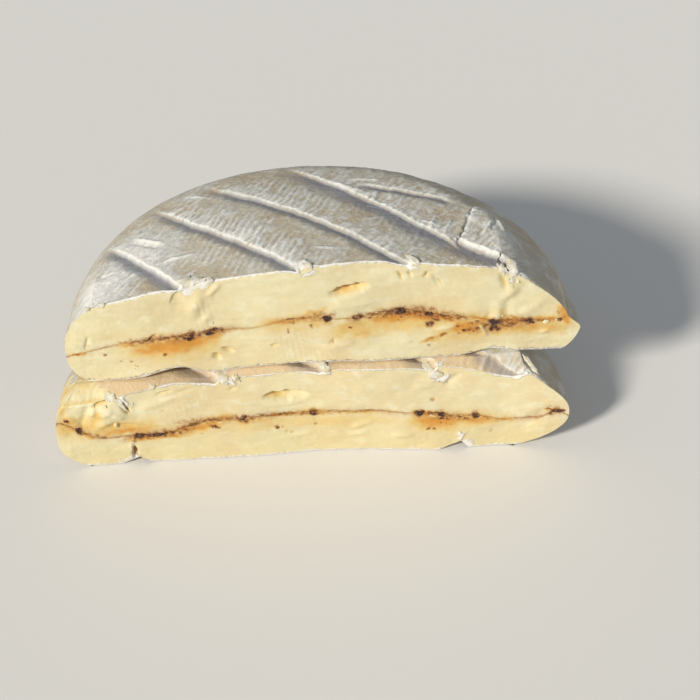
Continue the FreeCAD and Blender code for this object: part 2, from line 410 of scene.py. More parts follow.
@dataclass(frozen=True)
class Tear(Welt):
    """A hole torn in a cut face: a sharp upper edge, a floor that rises to the lower edge.

    Its height is taken as its depth.  Juice is how soaked its floor is, and lip the height of the edge
    that stands up below it.
    """

    juice: float = 0.0
    lip: float = 0.0
    ragged: Rough = Rough(0.15, 1.6, 2)
    seed: int = 17

    def shape(self, x: Array, z: Array) -> tuple[Array, Array]:
        """Share of the hole's depth at a point, and of the lip raised along its lower edge."""
        along, across = self.local(x, z)
        across = across + self.ragged.at(Noise(self.seed), x, z)
        ends = unit(1 - along ** 2)
        across = across / np.clip(ends, 0.05, 1) ** 0.4
        return window(across, (-1.0, 0.55), (0.72, 1.0)) * ends, bell(across + 1.15, 0.3) * ends


@dataclass(frozen=True)
class Plate:
    """A cracked plate of rind at the right: raised, with a crack on its left and a torn near edge.

    The rim stands up along the near edge and the curb beside the crack.
    """

    crack_top: Point
    corner: Point
    tip: Point
    rise: float = 0.4
    crack_depth: float = 0.5
    rim_height: float = 0.15
    curb_height: float = 0.25
    level_width: float = 3.0
    fade_width: float = 6.0
    coarse: Rough = Rough(0.6, 2.6, 3)
    fine: Rough = Rough(0.3, 1.1, 2, shift=(0, 40))
    seed: int = 8

    def at(self, x: Array, y: Array) -> Masks:
        """Samples the plate: "height", and the masks "edge", "crack" and "inside"."""
        noise = Noise(self.seed)
        jag = self.coarse.at(noise, x + y, y - x) + self.fine.at(noise, x, y)
        from_crack, up_crack = past_line(x, y, self.corner, self.crack_top)
        from_edge, along_edge = past_line(x, y, self.corner, self.tip)
        from_crack, from_edge = from_crack + jag * 0.7, -from_edge + jag
        inside = ramp(from_crack, 0.1, 0.7) * ramp(from_edge, 0.0, 0.7)
        deep = np.clip(np.minimum(from_crack, from_edge) - self.level_width, 0, None)
        inside = inside * np.exp(-deep / self.fade_width)
        on_crack = bell(from_crack, 0.3) * window(up_crack, (-0.08, 0.05), (0.9, 1.1))
        rim = bell(from_edge - 0.45, 0.5) * window(along_edge, (-0.05, 0.05), (0.95, 1.15))
        rim = rim * ramp(from_crack, -0.2, 0.5)
        curb = 0.5 * bell(from_crack - 0.9, 0.7) * window(up_crack, (-0.05, 0.1), (0.9, 1.15))
        curb = curb * ramp(from_edge, 0, 1)
        height = self.rise * inside + self.rim_height * rim * (1 + jag) + self.curb_height * curb
        return {"height": height - self.crack_depth * on_crack, "edge": unit(rim + curb),
                "crack": on_crack, "inside": inside}


@dataclass(frozen=True)
class MatPrint:
    """The weave of the mat, printed in the rind as thin ridges that are clear only in patches."""

    patches: tuple[Welt, ...] = ()
    pitch: float = 1.55
    turn_deg: float = 70.0
    height: float = 0.36
    elsewhere: float = 0.12
    sway: Rough = Rough(0.3, 4.0, 2, (0.5, 1))
    gaps: Rough = Rough(1, 2.6, 2, (1.1, 0.35), (7, 0))
    seed: int = 71

    def at(self, x: Array, y: Array) -> Array:
        """Share of a ridge's height at a point, 0 to 1."""
        noise = Noise(self.seed)
        along, across = turned(x, y, self.turn_deg)
        across = across + self.sway.at(noise, along, across)
        ridge = (0.5 + 0.5 * np.cos(2 * math.pi * across / self.pitch)) ** 1.2
        there = self.elsewhere + sum(patch.height * patch.share(x, y) for patch in self.patches)
        return ridge * ramp(self.gaps.at(noise, across, along), -0.9, 0.3) * unit(there)


@dataclass(frozen=True)
class RindRelief:
    """Relief of the rind that lay on the mat: grooves, the weave's print, blotches and welts.

    The lip is the white edge past a groove's wall, white bloom that is partly a painted highlight where the
    key light strikes the wall, and the strands are what is drawn out of it.  The gully shade is painted shade
    on the groove's floor and in the plate's crack.  Frosts are whiter places.
    """

    grooves: tuple[Groove, ...]
    welts: tuple[Welt, ...] = ()
    angle_deg: float = -44.0
    mat_print: MatPrint = MatPrint()
    plate: Plate | None = None
    frosts: tuple[Welt, ...] = ()
    blotch_height: float = 0.13
    speckle_height: float = 0.05
    stroke_height: float = 0.07
    strand_height: float = 0.1
    wander: Rough = Rough(0.28, 8.0, 4, (1, 0.4))
    ragged: Rough = Rough(0.35, 5.0, 3, (1, 0.3))
    feather: Rough = Rough(0.8, 1.7, 2, (1.3, 0.25), (0, 20))
    streak: Rough = Rough(1, 1.5, 2, (2.0, 0.3), (0, 7))
    scallop: Rough = Rough(0.16, 1.7, 2, (1, 0.15), (0, 33))
    blotch: Rough = Rough(1, 6.5, 4, shift=(50, 0))
    stroke: Rough = Rough(1, 1.6, 3, (1.6, 0.5), (0, 60))
    speckle: Rough = Rough(1, 1.3, 2, shift=(0, 90))
    seed: int = 3

    def _grooved(self, noise: Noise, x: Array, y: Array, streak: Array) -> Masks:
        """Cuts the grooves.

        Args:
            noise: the relief's noise.
            x: places along the cut.
            y: places behind the cut.
            streak: fine lines along the grooves, about -1 to 1.

        Returns:
            "height" in mm, and the masks "lip", "gully" (painted shade of the groove floors) and "strands",
            each 0 to 1.
        """
        place = turned(x, y, self.angle_deg)
        wander, scallop = self.wander.at(noise, *place), self.scallop.at(noise, *place)
        ragged, feather = 1 + self.ragged.at(noise, *place), 0.5 + self.feather.at(noise, *place)
        height, lip, gully, strands = (np.zeros_like(streak) for _ in range(4))
        for groove in self.grooves:
            off, share = groove.offset(x, y)
            off = off + wander + scallop
            there, past = groove.reach(share), groove.beyond(off)
            depth = groove.depth * there
            fall = unit((off + groove.slope_width) / groove.slope_width) ** 1.4
            wall = ramp(off, 0.0, groove.wall_width)
            raised = groove.lip * there * wall * (np.exp(-past / 2.2) * ragged)
            height += np.where(off < 0, -depth * fall, -depth * (1 - wall) + raised)
            # painted shade: how dark the groove's floor is painted, over the long fall and at the foot of the
            # wall
            shadow = ramp(off + 0.5 * wander, -0.95 * groove.slope_width, -0.25 * groove.slope_width)
            gully = np.maximum(gully, there * np.where(off < 0, shadow, (1 - wall) ** 2))
            # white band over the top of each wall: white bloom, partly a painted highlight where the key
            # light strikes the wall
            white = groove.white_width * (0.25 + 0.8 * np.clip(feather, 0, 1.3))
            crest = ramp(off, 0.6 * groove.wall_width, groove.wall_width)
            crest = crest * (1 - ramp(off, 0.3 + white, 0.7 + 1.6 * white))
            lip = np.maximum(lip, there * crest * np.clip(0.25 + 0.5 * ragged + 0.6 * streak, 0.15, 1))
            drawn = ramp(off, 0.2, 0.7) * np.exp(-past / (1.6 + 5.0 * unit(streak)))
            strands = np.maximum(strands, there * drawn * unit(0.6 + 1.2 * streak))
        return {"height": height, "lip": lip, "gully": gully, "strands": strands}

    def at(self, x: Array, y: Array) -> Masks:
        """Samples the relief.

        Args:
            x: places along the cut.
            y: places behind the cut.

        Returns:
            "height" in mm, and the masks "lip", "gully" (painted shade of the groove floors) and "bloom",
            each 0 to 1.
        """
        noise = Noise(self.seed)
        place = turned(x, y, self.angle_deg)
        streak, stroke = self.streak.at(noise, *place), self.stroke.at(noise, *place)
        blotch, speckle = self.blotch.at(noise, x, y), self.speckle.at(noise, x, y)
        height, lip, gully, strands = self._grooved(noise, x, y, streak).values()
        fibres = self.mat_print.at(x, y) * (1 - 0.75 * gully) * unit(1 - 0.8 * lip)
        height += self.mat_print.height * fibres
        height += self.blotch_height * blotch
        height += (self.speckle_height * speckle + self.stroke_height * stroke
                   + self.strand_height * strands * streak)
        scar = np.zeros_like(streak)
        for welt in self.welts:
            share = welt.share(x, y)
            height += welt.height * share
            if welt.height > 0 and welt.width < 4:
                scar = np.maximum(scar, share)
        if self.plate is not None:
            raised = self.plate.at(x, y)
            height += raised["height"]
            lip = np.maximum(lip, raised["edge"])
            # the plate's crack is painted dark as shade too, its inside is not
            gully = np.maximum(gully * (1 - raised["inside"]), 0.8 * raised["crack"])
        frost = sum(frost.height * frost.share(x, y) for frost in self.frosts)
        bloom = unit(0.24 + 0.6 * fibres + 0.16 * blotch + 0.04 * speckle + 0.2 * stroke + 0.85 * lip
                     + 0.9 * strands + 0.6 * scar - 0.2 * gully + frost)
        return {"height": height, "lip": lip, "gully": gully, "bloom": bloom}


@dataclass(frozen=True)
class Stains:
    """What lies on a cut face: amber juice, dark spice, pale paste over both, and torn white rind.

    Each is a streak whose height is its strength, with an edge as ragged as its kind's.  A few of the amber
    and dark streaks are painted shade, in a hole or beside a dent.
    """

    ambers: tuple[Welt, ...] = ()
    darks: tuple[Welt, ...] = ()
    pales: tuple[Welt, ...] = ()
    torn: tuple[Welt, ...] = ()
    amber_strength: float = 1.08
    torn_strength: float = 1.3
    amber_edge: Rough = Rough(0.5, 2.2, 3)
    dark_edge: Rough = Rough(0.25, 1.0, 3)
    pale_edge: Rough = Rough(0.3, 1.2, 3)
    torn_edge: Rough = Rough(0.6, 1.6, 3)
    cloud: Rough = Rough(0.2, 2.6, 3, (1, 1.5))
    speck: Rough = Rough(0.35, 0.9, 2)
    seed: int = 51

    def _sum(self, streaks: tuple[Welt, ...], edge: Rough, x: Array, z: Array) -> Array:
        """Strongest of the streaks at a point, with broken edges."""
        noise = Noise(self.seed + len(streaks))
        total = np.zeros_like(x)
        place = x + edge.at(noise, x, z), z + edge.at(noise, x + 77, z)
        for streak in streaks:
            total = np.maximum(total, streak.height * streak.share(*place))
        return total

    def at(self, x: Array, z: Array) -> Masks:
        """Samples the stains: the masks "soak", "char" and "torn", each 0 to 1."""
        noise = Noise(self.seed)
        bare = 1 - unit(self._sum(self.pales, self.pale_edge, x, z))
        soak = self.amber_strength * self._sum(self.ambers, self.amber_edge, x, z)
        char = self._sum(self.darks, self.dark_edge, x, z) * (1 + self.speck.at(noise, x, z))
        torn = unit(self.torn_strength * self._sum(self.torn, self.torn_edge, x, z))
        return {"soak": unit(soak * (1 + self.cloud.at(noise, x, z))) * bare, "char": unit(char) * bare,
                "torn": torn}


@dataclass(frozen=True)
class FaceRelief:
    """Relief of a cut face: slow swells, knife drag, lumps and holes.

    Bottom_shade is how strongly painted shade darkens the face from bottom_shade_top down to
    bottom_shade_base.
    """

    welts: tuple[Welt, ...] = ()
    tears: tuple[Tear, ...] = ()
    smears: tuple[Welt, ...] = ()
    smear_pitch: float = 1.15
    bottom_shade: float = 0.0
    bottom_shade_top: float = 11.0
    bottom_shade_base: float = 2.0
    swell: Rough = Rough(0.3, 15.0, 3, (1, 1.4))
    drag: Rough = Rough(0.06, 1.6, 2)
    fine: Rough = Rough(0.035, 1.1, 2)
    seed: int = 11

    def at(self, x: Array, z: Array) -> Masks:
        """Samples the face.

        Args:
            x: places along the cut.
            z: heights.

        Returns:
            "height" outward in mm, and the masks "hollow" (the holes, and the painted shade low on the face)
            and "soak", each 0 to 1.
        """
        noise = Noise(self.seed)
        height = self.swell.at(noise, x, z)
        height += self.drag.at(noise, x * 0.35 + z * 0.3, z - 0.05 * x)
        height += self.fine.at(noise, x, z)
        # painted shade low on the face, carried in the same mask as the holes
        hollow, soak = self.bottom_shade * ramp(-z, -self.bottom_shade_top, -self.bottom_shade_base), np.zeros_like(height)
        for welt in self.welts:
            height += welt.height * welt.share(x, z)
        for smear in self.smears:
            phase = 2 * math.pi * (x + 0.12 * z + 0.25 * noise.at(x, z, 3.0)) / self.smear_pitch
            height += smear.height * smear.share(x, z) * (0.5 + 0.5 * np.sin(phase) - 0.4)
        for tear in self.tears:
            hole, lip = tear.shape(x, z)
            height += tear.lip * lip - tear.height * hole
            hollow = np.maximum(hollow, hole)
            soak = np.maximum(soak, tear.juice * hole)
        return {"height": height, "hollow": hollow, "soak": soak}


@dataclass(frozen=True)
class Stretch:
    """A stretch of the filling's line: where, half its width, and how much thicker or higher it is."""

    x: float
    half_width: float
    amount: float

    def share(self, x: Array) -> Array:
        """How much of the change there is at a place, 0 to 1."""
        return hill(x, self.x, self.half_width)

    def at(self, x: Array) -> Array:
        """The change at a place."""
        return self.amount * self.share(x)


@dataclass(frozen=True)
class FillingLine:
    """How the filling shows along the cut: its path, its thickness and its dark stretches.

    Dabs are thicker, darker stretches, and bends stretches above or below the filling's level.
    """

    dabs: tuple[Stretch, ...]
    bends: tuple[Stretch, ...]
    offset: float = 0.0
    thin: float = 0.34
    thinnest: float = 0.16
    thickest: float = 3.2
    rim_thickness: float = 0.4
    darkness: float = 0.2
    dab_darkness: float = 0.8
    dark_reach: float = 0.85
    ragged: Rough = Rough(0.45, 1.7, 3)
    sway: Rough = Rough(0.14, 4.5, 3, shift=(0, 3))
    patchy: Rough = Rough(0.7, 2.2, 3, (1, 0.7))
    grain: Rough = Rough(0.05, 1.2, 2, (1, 2))
    seed: int = 21

    def thickness(self, x: Array) -> Array:
        """Thickness of the filling where it meets the cut face."""
        body = self.thin + sum(dab.at(x) for dab in self.dabs)
        ragged = 1 + self.ragged.at(Noise(self.seed), x, 0.0)
        return np.clip(body * ragged, self.thinnest, self.thickest)

    def sag(self, x: Array) -> Array:
        """How far the line runs above its level."""
        return (self.offset + sum(bend.at(x) for bend in self.bends)
                + self.sway.at(Noise(self.seed + 1), x, 0.0))

    def char(self, x: Array, rise: Array) -> Array:
        """Dark edging of the filling in the paste beside it, 0 to 1."""
        near = np.clip(np.abs(rise) - 0.35 * self.thickness(x), 0, None)
        dark = self.darkness + sum(self.dab_darkness * dab.share(x) for dab in self.dabs)
        patchy = 1 + self.patchy.at(Noise(self.seed + 3), x, rise)
        return unit(dark * patchy) * np.exp(-(near / self.dark_reach) ** 1.15)

    def proud(self, x: Array, z: Array) -> Array:
        """How far the filling stands out of the cut: more where it is thick."""
        grain = self.grain.at(Noise(self.seed + 5), x, z)
        return 0.02 + 0.22 * np.clip(self.thickness(x) - 0.3, 0, 1.2) + grain


@dataclass(frozen=True)
class FillingBody:
    """The filling's body: even inside the cheese, uneven where the cut shows it, thin at the rim."""

    half: HalfRound
    line: FillingLine
    clearance: float
    body: float = 0.9
    reach: float = 4.5

    def _near(self, x: Array, y: Array) -> Array:
        """How near the cut a point is, 1 at the cut."""
        depth = np.clip(y - self.half.face(x, self.half.filling.crown(x, y)), 0, None)
        return bell(depth, self.reach)

    def middle_at(self, x: Array, y: Array) -> Array:
        """Height of the filling's middle."""
        return self.half.filling_middle(x, y) + self.line.sag(x) * self._near(x, y)

    def half_thickness(self, x: Array, y: Array) -> Array:
        """Half of the filling's thickness."""
        near = self._near(x, y)
        out = np.hypot(x - self.half.middle[0], y - self.half.middle[1]) / self.half.radius
        body = self.body + (self.line.rim_thickness - self.body) * ramp(out, 0.86, 0.97)
        return 0.5 * (self.line.thickness(x) * near + body * (1 - near))

    def top(self, x: Array, y: Array) -> Array:
        """Height of its upper surface."""
        return self.middle_at(x, y) + self.half_thickness(x, y)

    def base(self, x: Array, y: Array) -> Array:
        """Height of its lower surface."""
        return self.middle_at(x, y) - self.half_thickness(x, y)

    def above(self, x: Array, y: Array) -> Array:
        """Underside of the paste above it."""
        return self.top(x, y) + self.clearance

    def below(self, x: Array, y: Array) -> Array:
        """Top of the paste below it."""
        return self.base(x, y) - self.clearance


# ---- Layers ----
class Side(Enum):
    """Which surface of a layer is rind."""

    TOP = "top"
    BOTTOM = "bottom"
    NEITHER = "neither"


@dataclass(frozen=True)
class RimRelief:
    """Unevenness and stains of the rim, over the way round it and the height.

    Top_reach is how far down the rim the relief of the top fades out.  The halo is the soaked line that
    the filling leaves on the rim.  The bare roughs are those of a patch where the rind has gone: its
    edge, its lower edge and its stain.
    """

    top_reach: float = 7.0
    bloom_level: float = 0.3
    halo_width: float = 0.9
    halo_soak: float = 0.42
    halo_char: float = 0.4
    halo_level: float = 0.6
    bare_low: Point = (0.3, 2.4)
    bare_soak: float = 0.25
    slow: Rough = Rough(0.22, 9.0, 3)
    fine: Rough = Rough(0.05, 1.5, 2, shift=(0, 40))
    bloom: Rough = Rough(0.35, 5.0, 4, (1, 1.5), (0, 9))
    patchy: Rough = Rough(0.9, 9.0, 4, (1, 0), (0, 90))
    bare_edge: Rough = Rough(3.0, 6.0, 4, shift=(0, 25))
    bare_base: Rough = Rough(1.5, 3.0, 3, shift=(0, 55))
    bare_stain: Rough = Rough(0.25, 6.0, 3, shift=(0, 70))
    seed: int = 5


@dataclass(frozen=True)
class EdgeRounding:
    """How a cut face is rounded at the rind and at the filling, and how wide the rind shows there.

    Its relief fades out over end_width at both ends of the cut.
    """

    end_width: float = 3.0
    rind_drop: float = 0.35
    rind_reach: float = 0.7
    fill_drop: float = 0.06
    fill_reach: float = 0.4
    top_width: float = 0.8
    base_width: float = 1.3
    torn_height: float = 0.3
    ragged: Rough = Rough(0.4, 3.0, 3)
    seed: int = 61


@dataclass
class Layer:
    """One layer of a half round, as a closed grid: a row of loops from the right end to the left.

    Under is the face of a half that lies on it, and bare a patch where its rind has gone.  The passes
    are how often each meeting place of two surfaces is worked out anew.
    """

    SHOULDER_PASSES = 8
    END_PASSES = 10
    EDGE_PASSES = 4

    name: str
    node: str
    half: HalfRound
    lower: Surface
    upper: Surface
    rind_side: Side
    line: FillingLine
    stains: Stains
    face_relief: FaceRelief | None = None
    rind_relief: RindRelief | None = None
    columns: int = 400
    face_rows: int = 42
    upper_rows: int = 12
    lower_rows: int = 10
    upper_bias: float = 1.0
    under: Surface | None = None
    bare: Welt | None = None
    rim: RimRelief = RimRelief()
    edge: EdgeRounding = EdgeRounding()
    slot_name: str = "paste"
    crowding: float = 0.38
    shoulder_inset: float = 4.0
    core_drop: float = 12.0
    # painted warm bounce light on the rind near the face of the half above: how far behind that face it
    # reaches, how it fades, and the x span over which it fades out to the right
    bounce_light_reach: float = 8.0
    bounce_light_fade: float = 3.0
    bounce_light_left: Point = (28.0, 52.0)

    def _rows(self) -> Array:
        """Row heights up the face as shares, closer together at both ends."""
        t = np.linspace(0, 1, self.face_rows)
        return (1 - self.crowding) * t + self.crowding * (0.5 - 0.5 * np.cos(math.pi * t))

    def _shoulder(self, angle: Array, level: Surface) -> Array:
        """Height at which a level meets the rim."""
        z = level(*self.half.rim_at(angle, self.shoulder_inset))
        for _ in range(self.SHOULDER_PASSES):
            z = 0.5 * z + 0.5 * level(*self.half.around(angle, self.half.rim_radius(angle, z)))
        return z

    def _end_angle(self, side: float, z: Array) -> Array:
        """Angle at which the rim meets the cut face, on the right (0) or the left (pi)."""
        half = self.half
        angle = np.full_like(z, side)
        for _ in range(self.END_PASSES):
            radius = half.rim_radius(angle, z)
            lean = np.arcsin((half.face(half.around(angle, radius)[0], z) - half.middle[1]) / radius)
            angle = lean if side == 0 else math.pi - lean
        return angle

    def _skin_and_face(self) -> tuple[Array, Array, Array, Array]:
        """Sets out the plain surfaces.

        Returns:
            The top rows, the rim, the cut face and the bottom rows, each (columns, rows, 3) in mm.
        """
        half, rows = self.half, self._rows()
        share = np.linspace(0, 1, self.columns)
        base = math.pi * share
        low_rim, high_rim = self._shoulder(base, self.lower), self._shoulder(base, self.upper)
        z_right = low_rim[0] + (high_rim[0] - low_rim[0]) * rows
        z_left = low_rim[-1] + (high_rim[-1] - low_rim[-1]) * rows
        start, stop = self._end_angle(0.0, z_right), self._end_angle(math.pi, z_left)
        angle = start[None] + (stop - start)[None] * share[:, None]

        z_rim = low_rim[:, None] + (high_rim - low_rim)[:, None] * rows[None]
        rim = np.stack([*half.around(angle, half.rim_radius(angle, z_rim)), z_rim], -1)

        reach = np.where(np.cos(angle) >= 0, half.rim_radius(start, z_right)[None],
                         half.rim_radius(stop, z_left)[None])
        x = half.around(angle, reach)[0]
        low_face, high_face = low_rim.copy(), high_rim.copy()
        for _ in range(self.EDGE_PASSES):
            low_face = self.lower(x[:, 0], half.face(x[:, 0], low_face))
            high_face = self.upper(x[:, -1], half.face(x[:, -1], high_face))
        crest = self._rind_height(x[:, -1], half.face(x[:, -1], high_face))
        z = low_face[:, None] + (high_face + crest - low_face)[:, None] * rows[None]
        face = np.stack([x, half.face(x, z), z], -1)
        roof = self._rows_between(face[:, -1:], rim[:, -1:], self.upper, self.upper_rows)
        bottom = self._rows_between(face[:, :1], rim[:, :1], self.lower, self.lower_rows)
        return roof, rim, face, bottom[:, ::-1]

    def _rows_between(self, front: Array, back: Array, level: Surface, count: int) -> Array:
        """Rows of a level from the cut's edge to the rim's, without the two edges."""
        s = np.linspace(0, 1, count + 2)[1:-1] ** self.upper_bias
        plan = front[..., :2] + (back[..., :2] - front[..., :2]) * s[None, :, None]
        return np.concatenate([plan, level(plan[..., 0], plan[..., 1])[..., None]], -1)

    def grid(self) -> tuple[Array, Masks]:
        """Works out every point of the layer and its masks.

        Returns:
            Points as (columns, loop, 3) in mm, and masks as (columns, loop).
        """
        roof, rim, face, bottom = self._skin_and_face()
        turn = self.upper_rows
        skin = self._soften(np.concatenate([roof, rim[:, ::-1]], 1), turn)
        skin, skin_masks = self._dress_skin(skin)
        face, face_masks = self._dress_face(face)
        if self.rind_side is Side.BOTTOM:
            tail = self._soften(np.concatenate([skin[:, turn:], bottom], 1), self.face_rows)
            skin = np.concatenate([skin[:, :turn], tail[:, :self.face_rows]], 1)
            bottom = tail[:, self.face_rows:]
        for end in (0, -1):
            skin[end, turn:] = face[end, ::-1]
            skin[end, :turn] = face[end, -1]
            bottom[end] = face[end, 0]
        masks = {}
        for key in ("rind", "bloom", "soak", "char", "hollow", "gully", "bounce_light"):
            below = float(key == "rind" and self.rind_side is Side.BOTTOM)
            masks[key] = np.concatenate([face_masks.get(key, np.zeros(face.shape[:2])),
                                         skin_masks.get(key, np.zeros(skin.shape[:2])),
                                         np.full(bottom.shape[:2], below)], 1)
        return np.concatenate([face, skin, bottom], 1), masks

    def skin_height(self, x: Array, y: Array) -> Array:
        """Height of the rind's outside over a point."""
        return self.upper(x, y) + self._rind_height(x, y)

    def _rind_height(self, x: Array, y: Array) -> Array:
        """Relief of the rind at the front edge, or nothing where the layer's top isn't rind."""
        if self.rind_relief is None or self.rind_side is not Side.TOP:
            return np.zeros_like(x)
        return self.rind_relief.at(x, y)["height"]

    @staticmethod
    def _soften(skin: Array, corner: int, reach: int = 13, passes: int = 36) -> Array:
        """Rounds the corner where a level meets the rim, by averaging along each loop."""
        low, high = max(corner - reach, 1), min(corner + reach, skin.shape[1] - 1)
        for _ in range(passes):
            beside = skin[:, low - 1:high - 1] + skin[:, low + 1:high + 1]
            skin[:, low:high] = 0.5 * skin[:, low:high] + 0.25 * beside
        return skin

    def _outward(self, skin: Array) -> Array:
        """The direction out of the skin at each of its points."""
        normal = np.cross(np.gradient(skin, axis=0), np.gradient(skin, axis=1))
        normal /= np.linalg.norm(normal, axis=-1, keepdims=True) + 1e-12
        inside = np.array([*self.half.middle, skin[..., 2].mean() - self.core_drop])
        normal *= np.sign((normal * (skin - inside)).sum(-1, keepdims=True))
        normal[0], normal[-1] = normal[2], normal[-3]
        return normal

    def _top_relief(self, x: Array, y: Array, z: Array, is_top: Array) -> Masks:
        """Relief of the layer's upper rind, smoothed and flushed where another half lies on it."""
        found = self.rind_relief.at(x, y)
        found["bounce_light"] = np.zeros_like(is_top)
        if self.under is not None:
            covered = ramp(y - self.under(x, z), -0.5, 0.3)
            lowered = np.minimum(found["height"], found["height"] * (1 - covered))
            found["height"] = np.where(covered > 0, lowered, found["height"])
            # painted warm bounce light from the paste above, on the rind near the upper half's face
            near = ramp(self.under(x, z) + self.bounce_light_reach - y, 0, self.bounce_light_fade)
            found["bounce_light"] = near * ramp(-x, -self.bounce_light_left[1], -self.bounce_light_left[0]) * is_top
        return found

    def _dress_skin(self, skin: Array) -> tuple[Array, Masks]:
        """Lifts the rind's relief out of the top and the rim.

        Args:
            skin: top rows from the front to the shoulder, then rim rows downward.

        Returns:
            The lifted points and their masks.
        """
        normal = self._outward(skin)
        x, y, z = skin[..., 0], skin[..., 1], skin[..., 2]
        turn = np.arctan2(y - self.half.middle[1], x - self.half.middle[0]) * self.half.radius
        noise, rim = Noise(self.rim.seed), self.rim
        rim_height = rim.slow.at(noise, turn, z) + rim.fine.at(noise, turn, z)
        rim_bloom = unit(rim.bloom_level + rim.bloom.at(noise, turn, z))
        is_top = np.zeros(skin.shape[:2])
        is_top[:, :self.upper_rows] = 1
        masks = {"rind": np.ones(skin.shape[:2]), "bloom": rim_bloom}
        height = rim_height * (1 - is_top)
        if self.rind_side is Side.TOP and self.rind_relief is not None:
            found = self._top_relief(x, y, z, is_top)
            shoulder = skin[:, self.upper_rows, 2][:, None]
            top = np.maximum(is_top, ramp(z, shoulder - rim.top_reach, shoulder))
            height = found["height"] * top + rim_height * (1 - top)
            # where the bounce light is painted, the bloom and the painted groove shade are weaker
            masks["bounce_light"] = found["bounce_light"]
            masks["bloom"] = (found["bloom"] * top + rim_bloom * (1 - top)) * (1 - 0.45 * found["bounce_light"])
            masks["gully"] = found["gully"] * top * (1 - 0.5 * found["bounce_light"])
        above = z - self.half.filling_middle(x, y)
        near = bell(above, rim.halo_width) * (1 - is_top)
        patchy = np.clip(rim.halo_level + rim.patchy.at(noise, turn, z), 0.05, 1.2)
        masks["soak"] = rim.halo_soak * near * patchy
        masks["char"] = rim.halo_char * near ** 3 * patchy
        if self.bare is not None:
            ragged = rim.bare_edge.at(noise, turn, z)
            low_edge = ramp(above + rim.bare_base.at(noise, turn, z), *rim.bare_low)
            gone = ramp(self.bare.share(x + ragged, y + ragged), 0.2, 0.6) * np.maximum(low_edge, is_top)
            masks["rind"] = masks["rind"] * (1 - gone)
            stain = rim.bare_soak + rim.bare_stain.at(noise, turn, z)
            masks["soak"] = np.maximum(masks["soak"], gone * stain)
        return skin + normal * height[..., None], masks

    def _dress_face(self, face: Array) -> tuple[Array, Masks]:
        """Lifts the cut face's relief, rounds its edges and works out its stains."""
        x, z = face[..., 0], face[..., 2]
        rise = z - self.half.filling_middle(x, face[..., 1]) - self.line.sag(x)
        stains = self.stains.at(x, z)
        masks = {"soak": stains["soak"], "char": np.maximum(stains["char"], self.line.char(x, rise))}
        if self.face_relief is None:
            face[..., 1] -= self.line.proud(x, z)
            return face, masks
        edge, found = self.edge, self.face_relief.at(x, z)
        ends = np.minimum(ramp(x, x.min(), x.min() + edge.end_width),
                          ramp(-x, -x.max(), -x.max() + edge.end_width))
        out = (found["height"] + edge.torn_height * stains["torn"]) * ends
        masks["hollow"] = found["hollow"]
        masks["soak"] = np.maximum(masks["soak"], found["soak"])
        rind_gap, fill_gap = z[:, -1:] - z, z - z[:, :1]
        width = edge.top_width
        if self.rind_side is Side.BOTTOM:
            rind_gap, fill_gap, width = fill_gap, rind_gap, edge.base_width
        out -= edge.rind_drop * unit(1 - rind_gap / edge.rind_reach) ** 2
        out -= edge.fill_drop * unit(1 - fill_gap / edge.fill_reach) ** 2
        face[..., 1] -= out
        width = width * (1 + edge.ragged.at(Noise(edge.seed), x, 0.0))
        masks["rind"] = np.maximum(unit(1 - rind_gap / np.clip(width, 0.3, None)), stains["torn"])
        masks["bloom"] = np.ones_like(z)
        if self.bare is not None:
            masks["rind"] = masks["rind"] * (1 - ramp(self.bare.share(x, face[..., 1]), 0.25, 0.6))
        return face, masks

    def build(self, maker: MeshMaker, material: Material) -> bpy.types.Object:
        """Makes the layer's object and ties it to the model."""
        points, masks = self.grid()
        piece = maker.make(self.name, points.reshape(-1, 3), tube_quads(*points.shape[:2]),
                           {key: mask.ravel() for key, mask in masks.items()}, material)
        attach(piece, "root")
        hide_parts(self.node)
        LOG.info("%s: %d faces", self.name, len(piece.data.polygons))
        return piece


# ---- Small pieces ----
@dataclass(frozen=True)
class Cluster:
    """A scatter of crumbs on a cut face: where, how widely, how many, how big and how dark."""

    x: float
    z: float
    spread_x: float
    spread_z: float
    count: int
    size: float
    dark: float = 1.0
    proud: float = 0.35


